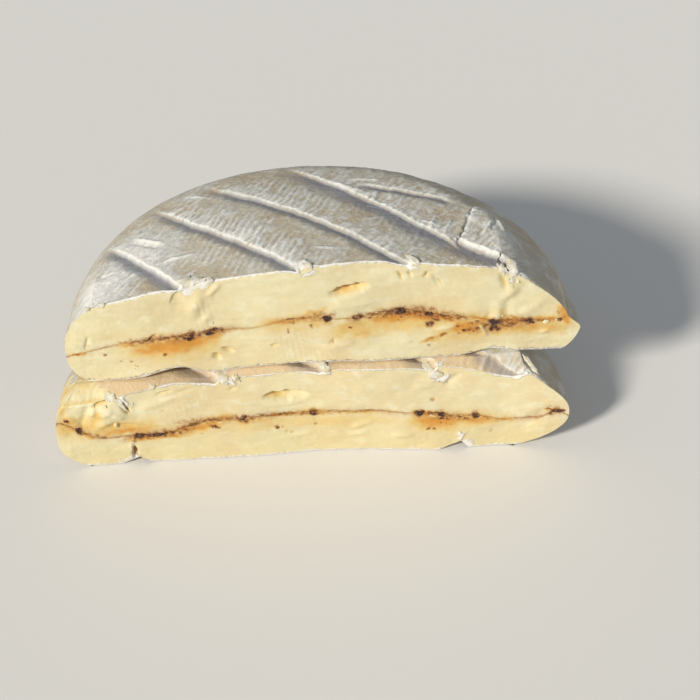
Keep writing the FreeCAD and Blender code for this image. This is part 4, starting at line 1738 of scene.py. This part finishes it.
@dataclass
class UpperHalf(DressedHalf):
    """The upper half round, with the mat's grooves across its top and a cracked plate of rind."""

    name: str = "upper"
    line: FillingLine = FillingLine(
        dabs=several(Stretch,
            (-28.6, 1.2, 0.5), (-25, 2.6, 0.4), (1, 1.4, 0.9), (7.6, 1.8, 0.5), (16.2, 2.4, 0.9),
            (22.8, 1.4, 0.4), (37.4, 2.4, 1.3), (44.4, 2.2, 0.4)),
        bends=several(Stretch,
            (-5.5, 12, 2.2), (-20, 6, 0.3), (17, 8, 0.8), (37.2, 4, -0.9), (54, 3, 0.7), (-33, 12, -0.3),
            (46, 7, -0.5)),
        offset=-0.6)
    stains: Stains = Stains(
        ambers=several(Welt,
            (-33, 31.4, 26, 9, 0.3), (18, 36.4, 26, 7.5, 0.42), (-42, 35.6, 24, 5, 0.16),
            (18, 40.4, 32, 4, 0.15), (31, 33.6, 14, 9, 0.52), (8, 35.4, 16, 8, 0.34),
            (-32.4, 32.4, 19, 5.4, 0.92, 5), (-36.5, 31.8, 15, 6.5, 0.34), (-25.5, 33.6, 9, 2.8, 0.7, 20),
            (-41.5, 33.2, 6, 2, 0.5), (-53.4, 30.3, 4, 1.1, 0.8, 15), (-6.5, 38.6, 14, 2.8, 0.62, 8),
            (-8, 36.6, 12, 4, 0.26), (-1, 38, 7, 3.4, 0.42), (6.5, 36, 8, 6.5, 0.5),
            (8.6, 33.8, 6, 3, 0.44), (15, 37.4, 10, 4.4, 0.84), (21, 37.2, 8, 3.6, 0.85, -12),
            (26.3, 36.5, 7, 2.6, 0.85, -15), (24.6, 31.3, 7.5, 1.5, 0.75, 18), (31, 33.6, 7.5, 5.6, 0.85),
            (43.5, 32.5, 20, 4.4, 0.56), (45.5, 34.6, 17, 2.4, 0.72, -2), (52.8, 35.5, 6, 3, 0.85, -70),
            (51, 31.5, 6, 6, 0.34), (34, 35.8, 6, 2.2, 0.62, -20), (-2, 40.8, 6, 1.6, 0.5, 15),
            (38.6, 36.8, 4, 4, 0.4, 80)),
        darks=several(Welt,
            (17, 39, 17, 3.4, 0.66), (-26.5, 35.2, 16, 3, 0.7, 10), (0.8, 39.5, 8, 3.4, 0.5),
            (38, 33.8, 13, 5, 0.6, 10), (25, 37.4, 15, 3, 0.62, -10), (-37, 34.4, 15, 2.2, 0.6, 5),
            (-4.5, 39.2, 13, 2.4, 0.42, 10), (46.5, 34.3, 12, 2, 0.46), (8, 38.4, 8, 2, 0.45),
            (1, 39.3, 2.6, 2.1, 1), (-28.9, 34.1, 1.8, 1.4, 1), (-27.2, 35.2, 2.2, 1.3, 0.7, 30),
            (-25.2, 35.3, 3.2, 1.1, 1, 25), (-23.6, 36.1, 1.8, 1, 1, 30), (-34.5, 34.6, 8, 0.8, 0.62, 8),
            # the dark streak at (-51.2, 32.4) is painted shadow beside a dent, not spice
            (-41, 33.1, 1.4, 0.9, 0.55), (-53.3, 30.4, 3.6, 0.7, 0.6, 12), (-51.2, 32.4, 2.6, 1.1, 0.3, 70),
            (-20, 36.1, 8, 0.6, 0.42, 2), (-7, 39.2, 3.6, 0.9, 0.58), (-3, 39.9, 4.4, 0.7, 0.5, 15),
            (-1, 40.6, 2.8, 0.8, 0.6, 20), (7.6, 38.6, 3.2, 1.3, 0.8), (10.5, 38.5, 1.8, 1, 0.8, 60),
            (13.2, 39.6, 3.4, 0.8, 0.75, 10), (16.6, 39, 3.6, 1.8, 1, -8), (14.5, 39.8, 2.2, 0.7, 0.7),
            (20, 38.9, 4.4, 0.7, 0.6, -6), (22.8, 38.2, 2.2, 1, 0.85, -20), (25.5, 37.4, 4.4, 0.8, 0.7, -8),
            (28.5, 36.9, 4.4, 0.7, 0.5, -5), (23.2, 35.2, 2.1, 1.8, 1, 20),
            (24.5, 36.2, 2.2, 1.1, 0.8, -30), (26.2, 32, 1.6, 1, 0.85, 20), (23, 30.9, 3.4, 0.6, 0.5, 20),
            (30.8, 32.7, 1.3, 1.2, 1), (29.4, 34, 1.1, 0.9, 0.8), (33.8, 33.2, 1.1, 1, 0.9),
            (31.8, 34.6, 1, 0.8, 0.7), (33.5, 35, 1.1, 0.8, 0.8), (37.4, 32.8, 3.4, 3.2, 0.85),
            (39.6, 34.2, 3, 1.7, 0.7, 35), (36.2, 34, 2.6, 1.3, 0.55), (43.5, 34.8, 1.9, 1, 0.8),
            (45.3, 33.9, 2, 1.1, 0.9), (41.5, 34.7, 3.4, 0.7, 0.5), (51.6, 34.2, 1.2, 1.1, 0.8),
            (51.2, 36, 2, 0.9, 0.45, 90), (-47.7, 30.3, 1.1, 1.1, 0.85), (-34.7, 30.2, 1, 1.2, 0.9),
            (-41.9, 28.3, 1.1, 0.8, 0.6), (-44.3, 28.4, 0.8, 0.7, 0.45), (-7.6, 35.6, 1.5, 0.8, 0.75, 80),
            (-2.4, 36.8, 1.5, 0.8, 0.7, 110), (-6.4, 37.7, 1.1, 0.8, 0.6, 90), (5.8, 36, 1.1, 0.9, 0.7),
            (2.2, 32.4, 1.5, 0.8, 0.5, 60), (19, 30.6, 0.9, 0.7, 0.4), (23, 29.3, 0.9, 0.8, 0.5),
            (26.1, 33.8, 0.9, 0.8, 0.5), (-38.6, 35, 1.4, 0.7, 0.5, 40)),
        torn=several(Welt,
            (-27.6, 49, 6.6, 2.6, 1, 18), (-28.4, 47.2, 2.6, 2.2, 0.8, 60), (-24.8, 49, 2.4, 2, 0.9, 70),
            (-2.4, 51.4, 3.2, 1.3, 0.9, 10), (19.6, 51.2, 2.2, 1, 0.8, 0), (39.4, 49, 2.6, 1.6, 0.9, -50),
            (40.6, 46.6, 2.6, 1.2, 0.7, 70)),
        pales=several(Welt,
            (-25.9, 36.6, 4, 0.7, 0.9, 78), (-24.9, 36.4, 3.4, 0.6, 0.9, 70), (-27.3, 36, 3, 0.6, 0.8, 80),
            (3.6, 39, 4.4, 2.6, 0.95, 60), (9, 40.4, 3, 1.6, 0.8, 20), (35, 32.4, 4, 1, 0.8, 115),
            (26.5, 34, 4, 1.6, 0.85, 15), (37.8, 37.2, 4.4, 1.2, 0.9, 85)))
    face_relief: FaceRelief = FaceRelief(
        welts=several(Welt,
            (-26.5, 44.5, 7, 3.4, 0.55, 72), (-27.6, 41.5, 4, 2.8, 0.4, 100), (-25, 39.6, 3.6, 2, 0.35, 60),
            (-30.4, 45, 4.6, 2.8, -0.3, 75), (-22.8, 47.5, 4, 1.6, 0.5, 50), (7, 42.5, 10, 3.6, 0.5, 0),
            (37.8, 37.6, 6.4, 2.8, 0.4, 82), (40, 38.4, 6.4, 2.4, -0.28, 86),
            (36, 36.4, 2.4, 1.8, -0.3, 60), (46, 38.6, 7, 3, 0.3, 40), (40.4, 42.6, 5, 2.6, 0.45, 60),
            (43.2, 43.4, 6, 2.4, -0.2, 58), (34.8, 32.6, 4, 1.2, 0.6, 115), (-51.3, 33.5, 4, 1, -0.4, 75),
            (3.5, 31, 7, 3, 0.3, 20), (26.5, 33.8, 4, 1.4, 0.3, 10), (48.5, 31, 2.2, 1.4, 0.3, 30),
            (24.5, 47.2, 3, 1, -0.35, 110)),
        tears=several(Tear,
            (6, 46, 9, 3.2, 1.7, 12, 0.72, 0.15), (-23.6, 28.4, 2.6, 2, 0.9, -60, 0.2),
            (-21, 30, 3, 1.8, 0.9, -35, 0.2), (16.8, 49, 2.6, 0.9, 0.6, -70, 0.3),
            (18.8, 49.2, 2.4, 0.8, 0.6, -72, 0.25), (22.4, 49, 2.4, 0.9, 0.6, 70, 0.3),
            (25.2, 46.8, 2.6, 0.9, 0.5, -60, 0.2), (38.6, 46, 5, 1.8, 0.55, -75, 0.25),
            (-10.6, 31.2, 2.2, 1.2, 0.4, 25, 0.2), (2.2, 32.4, 2.6, 1.1, 0.4, 60, 0.25),
            (-31, 45.6, 4, 1.8, 0.3, 60, 0.12), (-36.6, 35, 2.6, 1.3, 0.5, 40, 0.45)),
        smears=several(Welt,
            (-7, 31.5, 13, 8, 0.12, 90), (-25.5, 40, 10, 4, 0.14, 90), (-1, 29, 12, 6, 0.08, 90)))
    rind_relief: RindRelief = RindRelief(
        grooves=(
            Groove((-29.3, -2.5), (-46, 20.5), 0.3, 1, 3.8, 0.7, 0.25, 1.5),
            Groove((-4.5, -1.5), (-35, 31), -0.7, 0.95, 3.4, 0.45, 0.04, 0.4),
            Groove((18.5, -1.5), (-22, 36.5), 0.5, 0.85, 3.6, 0.45, 0.04, 0.5),
            Groove((37, -1.5), (-4, 42), -0.6, 0.7, 6.2, 0.5, 0.05, 0.2, 0.19),
            Groove((43.5, -2.6), (29.6, 7.6), 0.3, 1, 6, 0.6, 0.02, 0.2),
            Groove((29, 24.3), (11, 32), 0.3, 0.5, 2.8, 0.45, 0.08, 0.2, -0.02)),
        welts=several(Welt,
            (-37.4, 19.8, 8.5, 1.1, 0.4, -38), (-30.2, 9.7, 7, 0.9, 0.5, 6), (-30, 11.2, 7, 0.9, -0.3, 6),
            (-37.8, 18.2, 8, 1.4, -0.3, -38), (-33.5, 5, 9, 3, 0.35, -56), (11, 35, 7, 1, 0.3, -10),
            (-44, 8.5, 6, 0.9, 0.35, 42), (-41.5, 6.5, 7, 0.8, 0.35, 50), (-42.5, 3, 5.5, 0.8, 0.3, 58),
            (-46, 10.5, 3, 1, 0.3, 10), (-39, 8.5, 4, 1, 0.3, 35), (-39.5, 2.5, 5, 0.7, 0.25, 62),
            (14, 22.5, 7, 0.9, 0.2, -8), (24, 14.5, 4, 0.8, 0.22, -30), (13.5, 17, 5, 0.8, 0.2, 20),
            (1.5, 5, 6, 0.8, 0.2, -12), (7, 31.5, 9, 1.6, 0.25, -42), (-27, 35, 6, 1, 0.25, -30),
            (36.5, 11.5, 4.5, 0.8, 0.45, 62), (38.8, 13, 4.5, 0.8, 0.45, 105),
            (37.7, 12.6, 3.6, 0.8, -0.45, 80), (35.2, 10.5, 3.6, 0.9, -0.4, 60),
            (42.5, 11, 7, 1.2, 0.3, -62), (33.6, 17.6, 5.5, 1.5, 0.35, 68), (28, 12.5, 7, 0.8, 0.3, 70),
            (25, 15, 5, 0.8, 0.25, 70), (39.5, 10, 22, 11, 1.3, -62), (-27.2, -0.8, 7, 3.4, 0.3, -40),
            (-2.6, -1.4, 4.4, 2, 0.25, -50), (20, -1.2, 3.6, 1.4, 0.25, -60)),
        mat_print=MatPrint(
            several(Welt,
                (-16, 13.5, 38, 13, 1, -44), (-21, 5.5, 15, 6, 0.55, -44), (-6, 30, 22, 9, 0.8, -44),
                (16, 18.5, 30, 8, 0.7, -46), (14, 27, 12, 5, 0.4, -30))),
        plate=Plate((34.2, 20.5), (30, 7.6), (43.8, -1.6)),
        frosts=several(Welt,
            (-45, 9, 36, 17, 0.55, 52), (-52, 1, 16, 10, 0.3, 60), (38, 12, 20, 10, 0.22, -62)))
    rags: tuple[Rag, ...] = several(Rag,
        (-28, 3.4, 3, 2.8, -0.6, 0.35), (-25.6, 3, 2.4, 2.4, -0.5, 0.2), (-23.2, 1.8, 1.2, 1.5, -0.3, 0.3),
        (-2.2, 3.2, 1.6, 1.5, -0.7, 0.7), (-4.4, 1.6, 0.9, 0.9, -0.6, 0.4),
        (20.6, 3.4, 1.5, 1.2, -0.8, 0.6), (38.6, 2, 2.4, 1.4, -0.6, 0.2), (41, 2.6, 3.2, 2, -0.5, -0.1),
        (-46.8, 1, 0.9, 1.6, 0, 0.4), (-50, 0.8, 0.8, 1.3, 0, 0.5))
    spice: tuple[Cluster, ...] = several(Cluster,
        (1, 39.3, 0.7, 0.5, 4, 0.36, 0.9, 0.2), (-28.9, 34.1, 0.4, 0.3, 2, 0.4, 1, 0.3),
        (-25, 35.3, 1.3, 0.3, 5, 0.3, 1, 0.3), (7.6, 38.6, 1, 0.3, 3, 0.3, 0.9, 0.3),
        (16.6, 39.1, 1.3, 0.5, 7, 0.38, 1, 0.3), (23.2, 35.2, 0.6, 0.5, 4, 0.38, 0.95, 0.3),
        (22.8, 38.1, 0.8, 0.3, 3, 0.28, 0.9, 0.3), (37.4, 32.8, 1, 0.9, 3, 0.36, 0.8, 0.12),
        (31, 33.6, 2.8, 1.7, 11, 0.22, 0.35, 0.15), (25.4, 31.6, 2.4, 0.6, 5, 0.2, 0.4, 0.15),
        (18, 37.4, 5, 1, 9, 0.16, 0.3, 0.12), (44.5, 34.3, 1.4, 0.4, 4, 0.32, 0.9, 0.25),
        (-47.7, 30.3, 0.2, 0.2, 1, 0.4, 0.5, 0.2), (-34.7, 30.2, 0.2, 0.3, 2, 0.3, 0.6, 0.2),
        (-41, 27, 1.4, 1.6, 5, 0.2, 0.3, 0.2), (51.6, 34.3, 0.4, 0.3, 2, 0.34, 0.7, 0.2),
        (-6, 38.6, 3.6, 0.7, 4, 0.16, 0.4, 0.12))
    loose: tuple[Cluster, ...] = several(Cluster,
        (-26.5, 44.5, 1.4, 1.8, 3, 0.4, 0, 0.1), (-24, 40, 1.6, 1.4, 3, 0.4, 0, 0.1),
        (41.5, 45, 1, 1.6, 4, 0.6, 0, 0.2), (38.6, 36.6, 0.6, 1, 3, 0.5, 0, 0.2),
        (50, 33.5, 1.6, 1, 6, 0.45, 0, 0.25))
    spice_seed: int = 4
    loose_seed: int = 12
    rag_seed: int = 33

    def half(self) -> HalfRound:
        """The plain half round under the marks."""
        return self.cheese.upper

    def layers(self, body: FillingBody) -> tuple[Layer, Layer]:
        """The layers above and below the filling."""
        top = self._layer("top", body.above, self.cheese.upper.top.at, Side.TOP, face_rows=50,
                          upper_rows=125, rind_relief=self.rind_relief)
        return top, self._layer("bottom", self.cheese.seam_base, body.below, Side.BOTTOM, face_rows=50)


@dataclass
class LowerHalf(DressedHalf):
    """The lower half round, which stands forward, with a bare patch at its left end."""

    name: str = "lower"
    line: FillingLine = FillingLine(
        dabs=several(Stretch,
            (-55.4, 1.4, 0.9), (-42, 2.4, 0.6), (-38, 3, 0.3), (-18.6, 1.4, 0.7), (-3, 1.2, 0.6),
            (20.4, 1.4, 0.7), (25.6, 2.4, 0.5), (33.4, 1.4, 0.9), (51, 1.8, 0.3)),
        bends=several(Stretch,
            (-60.5, 10, 5.5), (-27, 9, 1.8), (-46, 8, 0.6), (-3, 8, -0.7), (39.5, 6, -1.1), (28, 3, -0.5),
            (51.5, 4, 2.4)),
        darkness=0.3,
        seed=27)
    stains: Stains = Stains(
        ambers=several(Welt,
            (-46, 11.6, 18, 6, 0.46), (-30, 10.4, 20, 5, 0.4, 12), (-5, 9.6, 44, 5.6, 0.28),
            (28, 8.8, 20, 6, 0.42), (-56, 12, 10, 9, 0.4), (-45, 10.6, 13, 3, 0.72, 2),
            (-51.5, 14, 7, 3, 0.5, 60), (-57.5, 13, 6, 6, 0.5, 60), (-55, 10.4, 8, 2.4, 0.62, -30),
            (-38, 8, 14, 1.8, 0.74, 4), (-28, 10.2, 13, 3.2, 0.72, 12), (-24, 12.4, 8, 2, 0.5, 8),
            (-16, 10.8, 12, 2.6, 0.4), (-9.6, 12, 6, 1.2, 0.62), (-3, 12.2, 8, 2.6, 0.48),
            (6, 12.2, 10, 1.3, 0.42), (24.5, 8.8, 11, 5.4, 0.86, -8), (33, 8.4, 11, 3.4, 0.68),
            (22, 11.4, 5, 1.6, 0.7, -10), (39.5, 8.2, 6, 2, 0.45), (-48.2, 20.6, 8, 1.4, 0.5, 30),
            (-44.4, 17.2, 4, 1.2, 0.55, -60), (-58.5, 17, 5, 2.4, 0.35, 60),
            # the last amber streak, at (-11.6, 17.4), is painted shade in the left end of the hole there
            (50.4, 11.2, 3.4, 1.2, 0.5, -8), (-11.6, 17.4, 4.4, 2, 0.42)),
        darks=several(Welt,
            # the dark streaks at (-11.6, 18.2) and (-7.6, 18.7) are painted shade under the hole's upper edge
            (-43.5, 3.8, 3.4, 0.8, 0.75, 84), (-11.6, 18.2, 3.4, 0.7, 0.34, 4), (-7.6, 18.7, 5, 0.45, 0.26),
            (-21, 12.1, 27, 2.4, 0.55), (-38, 8.9, 17, 3.4, 0.62, 6), (-7, 12, 19, 1.9, 0.5),
            (5, 12.4, 13, 1.1, 0.42), (27, 10, 15, 3, 0.5, -10), (-31.5, 10.4, 10, 2.8, 0.6, 22),
            (-52, 9.6, 8, 2, 0.5, -20), (-56, 12, 7, 3, 0.4, -40), (-55.4, 11.8, 1.9, 1.7, 1),
            (-57.8, 14.4, 1.4, 1.2, 0.9), (-50.6, 9.2, 4.6, 0.7, 0.5, -12), (-42.6, 8.9, 2.4, 1.2, 0.9, 10),
            (-40.2, 8.4, 2.6, 1, 0.75), (-37.4, 8.7, 3.4, 0.9, 0.65, 8), (-34.4, 9.6, 5, 0.7, 0.6, 20),
            (-30.2, 11, 4.6, 0.7, 0.55, 18), (-26, 12, 4.6, 0.8, 0.6, 8), (-25.2, 10, 2.6, 1, 0.75, -20),
            (-23.2, 11.8, 2, 1, 0.5, 40), (-18.6, 12.2, 1.9, 1.5, 0.85), (-21, 12.5, 4, 0.6, 0.55),
            (-10.6, 12.2, 4.2, 0.7, 0.62), (-3, 12.1, 1.8, 1.3, 0.75), (2.6, 12.3, 4.6, 0.6, 0.5, 3),
            (8, 12.5, 5.4, 0.6, 0.55, 3), (17.6, 11.3, 1.2, 0.6, 0.5), (20.8, 11.9, 3, 1.3, 1, -12),
            (23.4, 11.3, 2.4, 0.9, 0.8, -20), (24.8, 10.2, 2.2, 0.8, 0.8, -60),
            (26.2, 9.4, 2.4, 0.9, 1, -10), (29.4, 9.7, 2.2, 0.7, 0.7), (31.4, 9, 1.8, 0.7, 0.7),
            (33.2, 10, 1.8, 1.5, 0.85), (35.6, 9, 2.6, 0.8, 0.6, -30), (22.8, 6.9, 0.9, 0.9, 0.7),
            (24, 6.6, 0.9, 0.9, 0.9), (37, 4.8, 0.8, 1.2, 0.5), (-11.4, 8.6, 1.1, 0.9, 0.8),
            (-10, 8.4, 0.8, 1, 0.5), (-8.2, 6.6, 1.1, 0.9, 0.5), (-2.6, 8.8, 0.8, 0.7, 0.5),
            (-28.4, 8.2, 0.8, 0.6, 0.5), (23.8, 14.8, 1.4, 0.8, 0.45), (50.2, 11.4, 3.4, 0.8, 0.8, -8),
            (52.2, 10.9, 2.4, 1, 1), (49.6, 12.2, 2, 0.6, 0.4, 50), (-36.6, 16, 0.9, 0.7, 0.35)),
        torn=several(Welt,
            (-45.7, 21, 7.6, 1.3, 1, -53), (-43.8, 7, 2.8, 0.8, 0.9, 80), (30, 3.8, 2.6, 1.8, 0.9, 60),
            (-22, 23.2, 4.4, 1.8, 1, -20), (-20.6, 22.4, 2, 1.6, 0.8, -60), (-0.6, 24.2, 4, 1.5, 0.9, -12),
            (23.6, 22.8, 5.6, 1.5, 1, -55), (26.4, 21, 3, 1.8, 0.9, 35), (24.4, 20.4, 2.4, 1, 0.8, 20),
            (-40, 22.2, 4, 0.9, 0.6, 12)),
        pales=several(Welt,
            (-23.6, 11.2, 2, 0.6, 0.7, 20), (-19.2, 12.6, 1.2, 0.6, 0.7), (23.6, 10.4, 1.4, 0.7, 0.9, -40)),
        seed=57)
    face_relief: FaceRelief = FaceRelief(
        welts=several(Welt,
            (-47.5, 16.6, 7, 5.4, 0.8, 10), (-50.4, 13, 4, 3, 0.45, 40), (-44.6, 17.8, 4, 1.2, -0.6, -60),
            (-53.8, 15.5, 7, 1.8, -0.4, 70), (-48, 20.2, 7, 1, -0.7, 25), (-51, 22, 7, 2, 0.4, 40),
            (-56.5, 14, 5, 2, 0.4, -60), (-46, 12.6, 6, 1.2, -0.4, -12), (46.6, 8.4, 9, 2.6, -0.22, 48),
            (40.6, 6.4, 10, 2.4, -0.2, 14), (45, 10.4, 9, 3.4, 0.18, 46), (-51.8, 16.8, 2.6, 1.6, 0.45, 70),
            (-48.8, 16.8, 3.2, 2.2, 0.5, 20), (-46.2, 15.4, 2.6, 1.8, 0.45, -30),
            (-49, 13.4, 2.8, 1.6, 0.4, 10), (-37.5, 18, 8, 2.6, 0.4, 20), (-33, 20.4, 8, 1.2, -0.3, 15),
            (12, 19, 12, 5, 0.3, 0), (8, 8.6, 5, 1.6, 0.4, 25), (7, 5.6, 4, 1.4, 0.35, 10),
            (17, 5.2, 4.6, 1.4, 0.45, 0), (-5.4, 5.8, 4, 1.4, 0.35, 0), (28, 20.2, 4, 1.4, -0.4, 40),
            (22, 19, 4, 1.6, 0.35, 0)),
        tears=several(Tear,
            (-9, 17.2, 10.5, 4, 2.1, 3, 0.2, 0.2), (-43.6, 3.7, 4.8, 1.5, 1.4, 84, 0.2),
            (-35.6, 20.6, 5, 1.2, 0.5, 15, 0.1), (-48.4, 19.6, 8, 2.2, 0.55, 28, 0.4),
            (-44.6, 17, 3.6, 1, 0.7, -65, 0.5), (23.8, 15, 1.4, 1, 0.35, 0, 0.3),
            (-20.6, 20.2, 2.2, 1, 0.4, 30, 0.1), (-9, 6.6, 1.4, 1, 0.4, 0, 0.3)),
        smears=several(Welt, (-2, 8, 8, 5, 0.08, 90), (-30, 17, 16, 6, 0.07, 20)),
        # painted shade towards the bottom of the face
        bottom_shade=0.5,
        seed=14)
    rind_relief: RindRelief = RindRelief(
        grooves=(
            Groove((-21.5, -5.5), (-60, 33), 0, 1.7, 5, 1, 0.3),
            Groove((1.5, -5), (-38, 34), 0, 1.5, 5, 1, 0.3),
            Groove((26.5, -5.5), (-14, 36), 0, 1.9, 5, 1, 0.3),
            Groove((47, -6.2), (27, 4), 0, 0.9, 3, 0.6, 0.35, 0.4)),
        welts=several(Welt,
            (35.5, -1.5, 4, 1.2, 0.5, 50), (-35, -3.5, 6, 1.2, 0.3, 15), (-47.6, -5.4, 6, 1.4, 0.4, 118)),
        seed=6)
    rags: tuple[Rag, ...] = several(Rag,
        (-47.4, 2.4, 5.4, 2.2, -0.5, 0.72, 0.5, 0.3), (-22.4, 2.2, 2.4, 1.9, -0.6, 0.5),
        (-19.8, 1, 1.6, 1.2, -0.4, 0.8), (0.2, 2, 1.8, 1.6, -0.7, 0.6),
        (23.6, 3.2, 4.4, 2.3, -0.7, 0.75, 0.5, 0.5), (46.6, 3.2, 0.9, 1.1, -0.9, 0.8),
        (-38, 1, 0.7, 1.4, 0, 0.5))
    notches: tuple[Groove, ...] = (
        Groove((-45.4, -8), (-6, 30), 0, 2.4, 3.6, 1.3),
        Groove((26.2, -8), (65.6, 30), 0, 2.4, 3.6, 1.3))
    spice: tuple[Cluster, ...] = several(Cluster,
        (-55.4, 11.8, 0.5, 0.4, 4, 0.36, 0.9, 0.3), (-57.8, 14.4, 0.3, 0.3, 2, 0.36, 0.8, 0.3),
        (-42.4, 8.9, 0.9, 0.4, 5, 0.32, 0.95, 0.3), (-38.4, 8.6, 2, 0.3, 6, 0.24, 0.8, 0.25),
        (-25.2, 10, 1, 0.3, 4, 0.26, 0.7, 0.25), (-18.6, 12.2, 0.5, 0.4, 4, 0.36, 0.95, 0.3),
        (-3, 12.1, 0.5, 0.3, 3, 0.34, 0.9, 0.3), (-10.6, 12.2, 1.6, 0.2, 4, 0.2, 0.7, 0.2),
        (20.8, 11.9, 1.1, 0.3, 6, 0.32, 1, 0.3), (26, 9.5, 0.6, 0.2, 2, 0.3, 0.9, 0.2),
        (33.2, 10, 0.3, 0.3, 2, 0.4, 0.9, 0.25), (30.5, 9.4, 2.2, 0.2, 3, 0.18, 0.5, 0.15),
        (23.4, 6.8, 0.9, 0.2, 2, 0.2, 0.5, 0.15), (25, 8.4, 4, 1.2, 6, 0.15, 0.3, 0.12),
        (52, 11, 0.6, 0.2, 3, 0.3, 0.9, 0.3), (-10.6, 8.4, 0.9, 0.3, 3, 0.22, 0.5, 0.2))
    loose: tuple[Cluster, ...] = several(Cluster,
        (-49, 15.5, 2.6, 2.2, 12, 0.7, 0, 0.15), (-46, 18.2, 1.6, 1, 4, 0.5, 0, 0.15))
    bare: Welt = Welt(-58.4, -5, 24, 20, 1)
    spice_seed: int = 5
    loose_seed: int = 13
    rag_seed: int = 35

    def half(self) -> HalfRound:
        """The plain half round under the marks."""
        return self.cheese.lower

    def ground(self, x: Array, y: Array) -> Array:
        """Underside of the cheese, flat but for the mat's grooves."""
        rise = np.zeros_like(np.asarray(x, float) + np.asarray(y, float))
        for notch in self.notches:
            off, _ = notch.offset(x, y)
            fall = unit(1 + np.where(off < 0, off / notch.slope_width, -off / notch.wall_width))
            rise = np.maximum(rise, notch.depth * fall)
        return rise

    def layers(self, body: FillingBody) -> tuple[Layer, Layer]:
        """The layers above and below the filling."""
        top = self._layer("top", body.above, self.cheese.seam_top, Side.TOP, face_rows=46, upper_rows=60,
                          upper_bias=2.0, under=self.cheese.upper_face.at, bare=self.bare,
                          rind_relief=self.rind_relief)
        return top, self._layer("bottom", self.ground, body.below, Side.BOTTOM, face_rows=44, lower_rows=30)


# ---- Studio ----
@dataclass(frozen=True)
class Studio:
    """A plain pale floor, a soft low key from the front left, and an even sky."""

    floor_color: Color = shade(236, 232, 224)
    key_color: tuple[float, float, float] = (1.0, 0.965, 0.905)
    key_strength: float = 3.05
    key_from: tuple[float, float, float] = (-0.62, -0.58, 0.53)
    key_soft_deg: float = 9.0
    floor_reach: float = 4.0
    floor_gap: float = 0.0002
    sky_color: Color = (0.80, 0.88, 1.0, 1.0)
    sky_strength: float = 0.33

    def build(self) -> None:
        """Makes the floor, the key and the sky."""
        mesh = bpy.data.meshes.new("floor")
        corners = [(x * self.floor_reach, y * self.floor_reach, 0)
                   for x, y in ((-1, -1), (1, -1), (1, 1), (-1, 1))]
        mesh.from_pydata(corners, [], [(0, 1, 2, 3)])
        floor = bpy.data.objects.new("floor", mesh)
        floor.location.z = CAD_BOUNDS[0][2] - self.floor_gap
        bpy.context.scene.collection.objects.link(floor)
        material, bench, shader = new_material("floor", 0.85, 0.0)
        bench.feed(shader.inputs["Base Color"], self.floor_color)
        mesh.materials.append(material)
        lamp = bpy.data.lights.new("key", "SUN")
        lamp.energy, lamp.angle = self.key_strength, math.radians(self.key_soft_deg)
        lamp.color = self.key_color
        key = bpy.data.objects.new("key", lamp)
        key.rotation_euler = Vector(self.key_from).to_track_quat("Z", "Y").to_euler()
        bpy.context.scene.collection.objects.link(key)
        world = bpy.data.worlds.new("sky")
        world.use_nodes = True
        sky = world.node_tree.nodes["Background"]
        sky.inputs["Color"].default_value = self.sky_color
        sky.inputs["Strength"].default_value = self.sky_strength
        bpy.context.scene.world = world
        bpy.context.scene.view_settings.view_transform = "Standard"
        LOG.info("floor, key and sky")


@dataclass(frozen=True)
class Camera:
    """Where the cheese is seen from: in front, a little below half way up to overhead."""

    aim: tuple[float, float, float] = (5.751, 0.0, 27.760)
    towards: tuple[float, float, float] = (-0.01414, -0.74701, 0.66466)
    distance: float = 404.12
    roll_deg: float = -1.979
    lens: float = 94.63
    sensor_width: float = 36.0
    clip_start: float = 0.01

    def build(self, shift: Array) -> None:
        """Makes the scene's camera, aimed from the cheese's own middle."""
        data = bpy.data.cameras.new("camera")
        data.lens, data.sensor_width, data.clip_start = self.lens, self.sensor_width, self.clip_start
        camera = bpy.data.objects.new("camera", data)
        back = Vector(self.towards).normalized()
        right = Vector((0, 0, 1)).cross(back).normalized()
        up = back.cross(right)
        roll = math.radians(self.roll_deg)
        right, up = (right * math.cos(roll) + up * math.sin(roll),
                     up * math.cos(roll) - right * math.sin(roll))
        place = (Vector(shift) + Vector(self.aim) + back * self.distance) * MM
        camera.matrix_world = Matrix.Translation(place) @ Matrix((right, up, back)).transposed().to_4x4()
        bpy.context.scene.collection.objects.link(camera)
        bpy.context.scene.camera = camera
        LOG.info("camera %.0f mm away", self.distance)


def main() -> None:
    """Builds the cheese, its finishes and the studio."""
    effects = SharedEffects()
    loose_paste = ShredFinish(shade(240, 230, 190), shade(228, 206, 148), "loose_paste")
    finishes = {"cheese": CheeseFinish().build(effects), "filling": FillingFinish().build(effects),
                "spice": CrumbFinish().build(effects), "torn_rind": ShredFinish().build(effects),
                "loose_paste": loose_paste.build(effects)}
    cheese = Camembert()
    maker = MeshMaker(cheese.shift())
    LOG.info("cheese lies at %s mm", maker.shift.round(3))
    Studio().build()
    Camera().build(maker.shift)
    UpperHalf(cheese).build(maker, finishes)
    LowerHalf(cheese).build(maker, finishes)


if __name__ == "__main__":
    main()
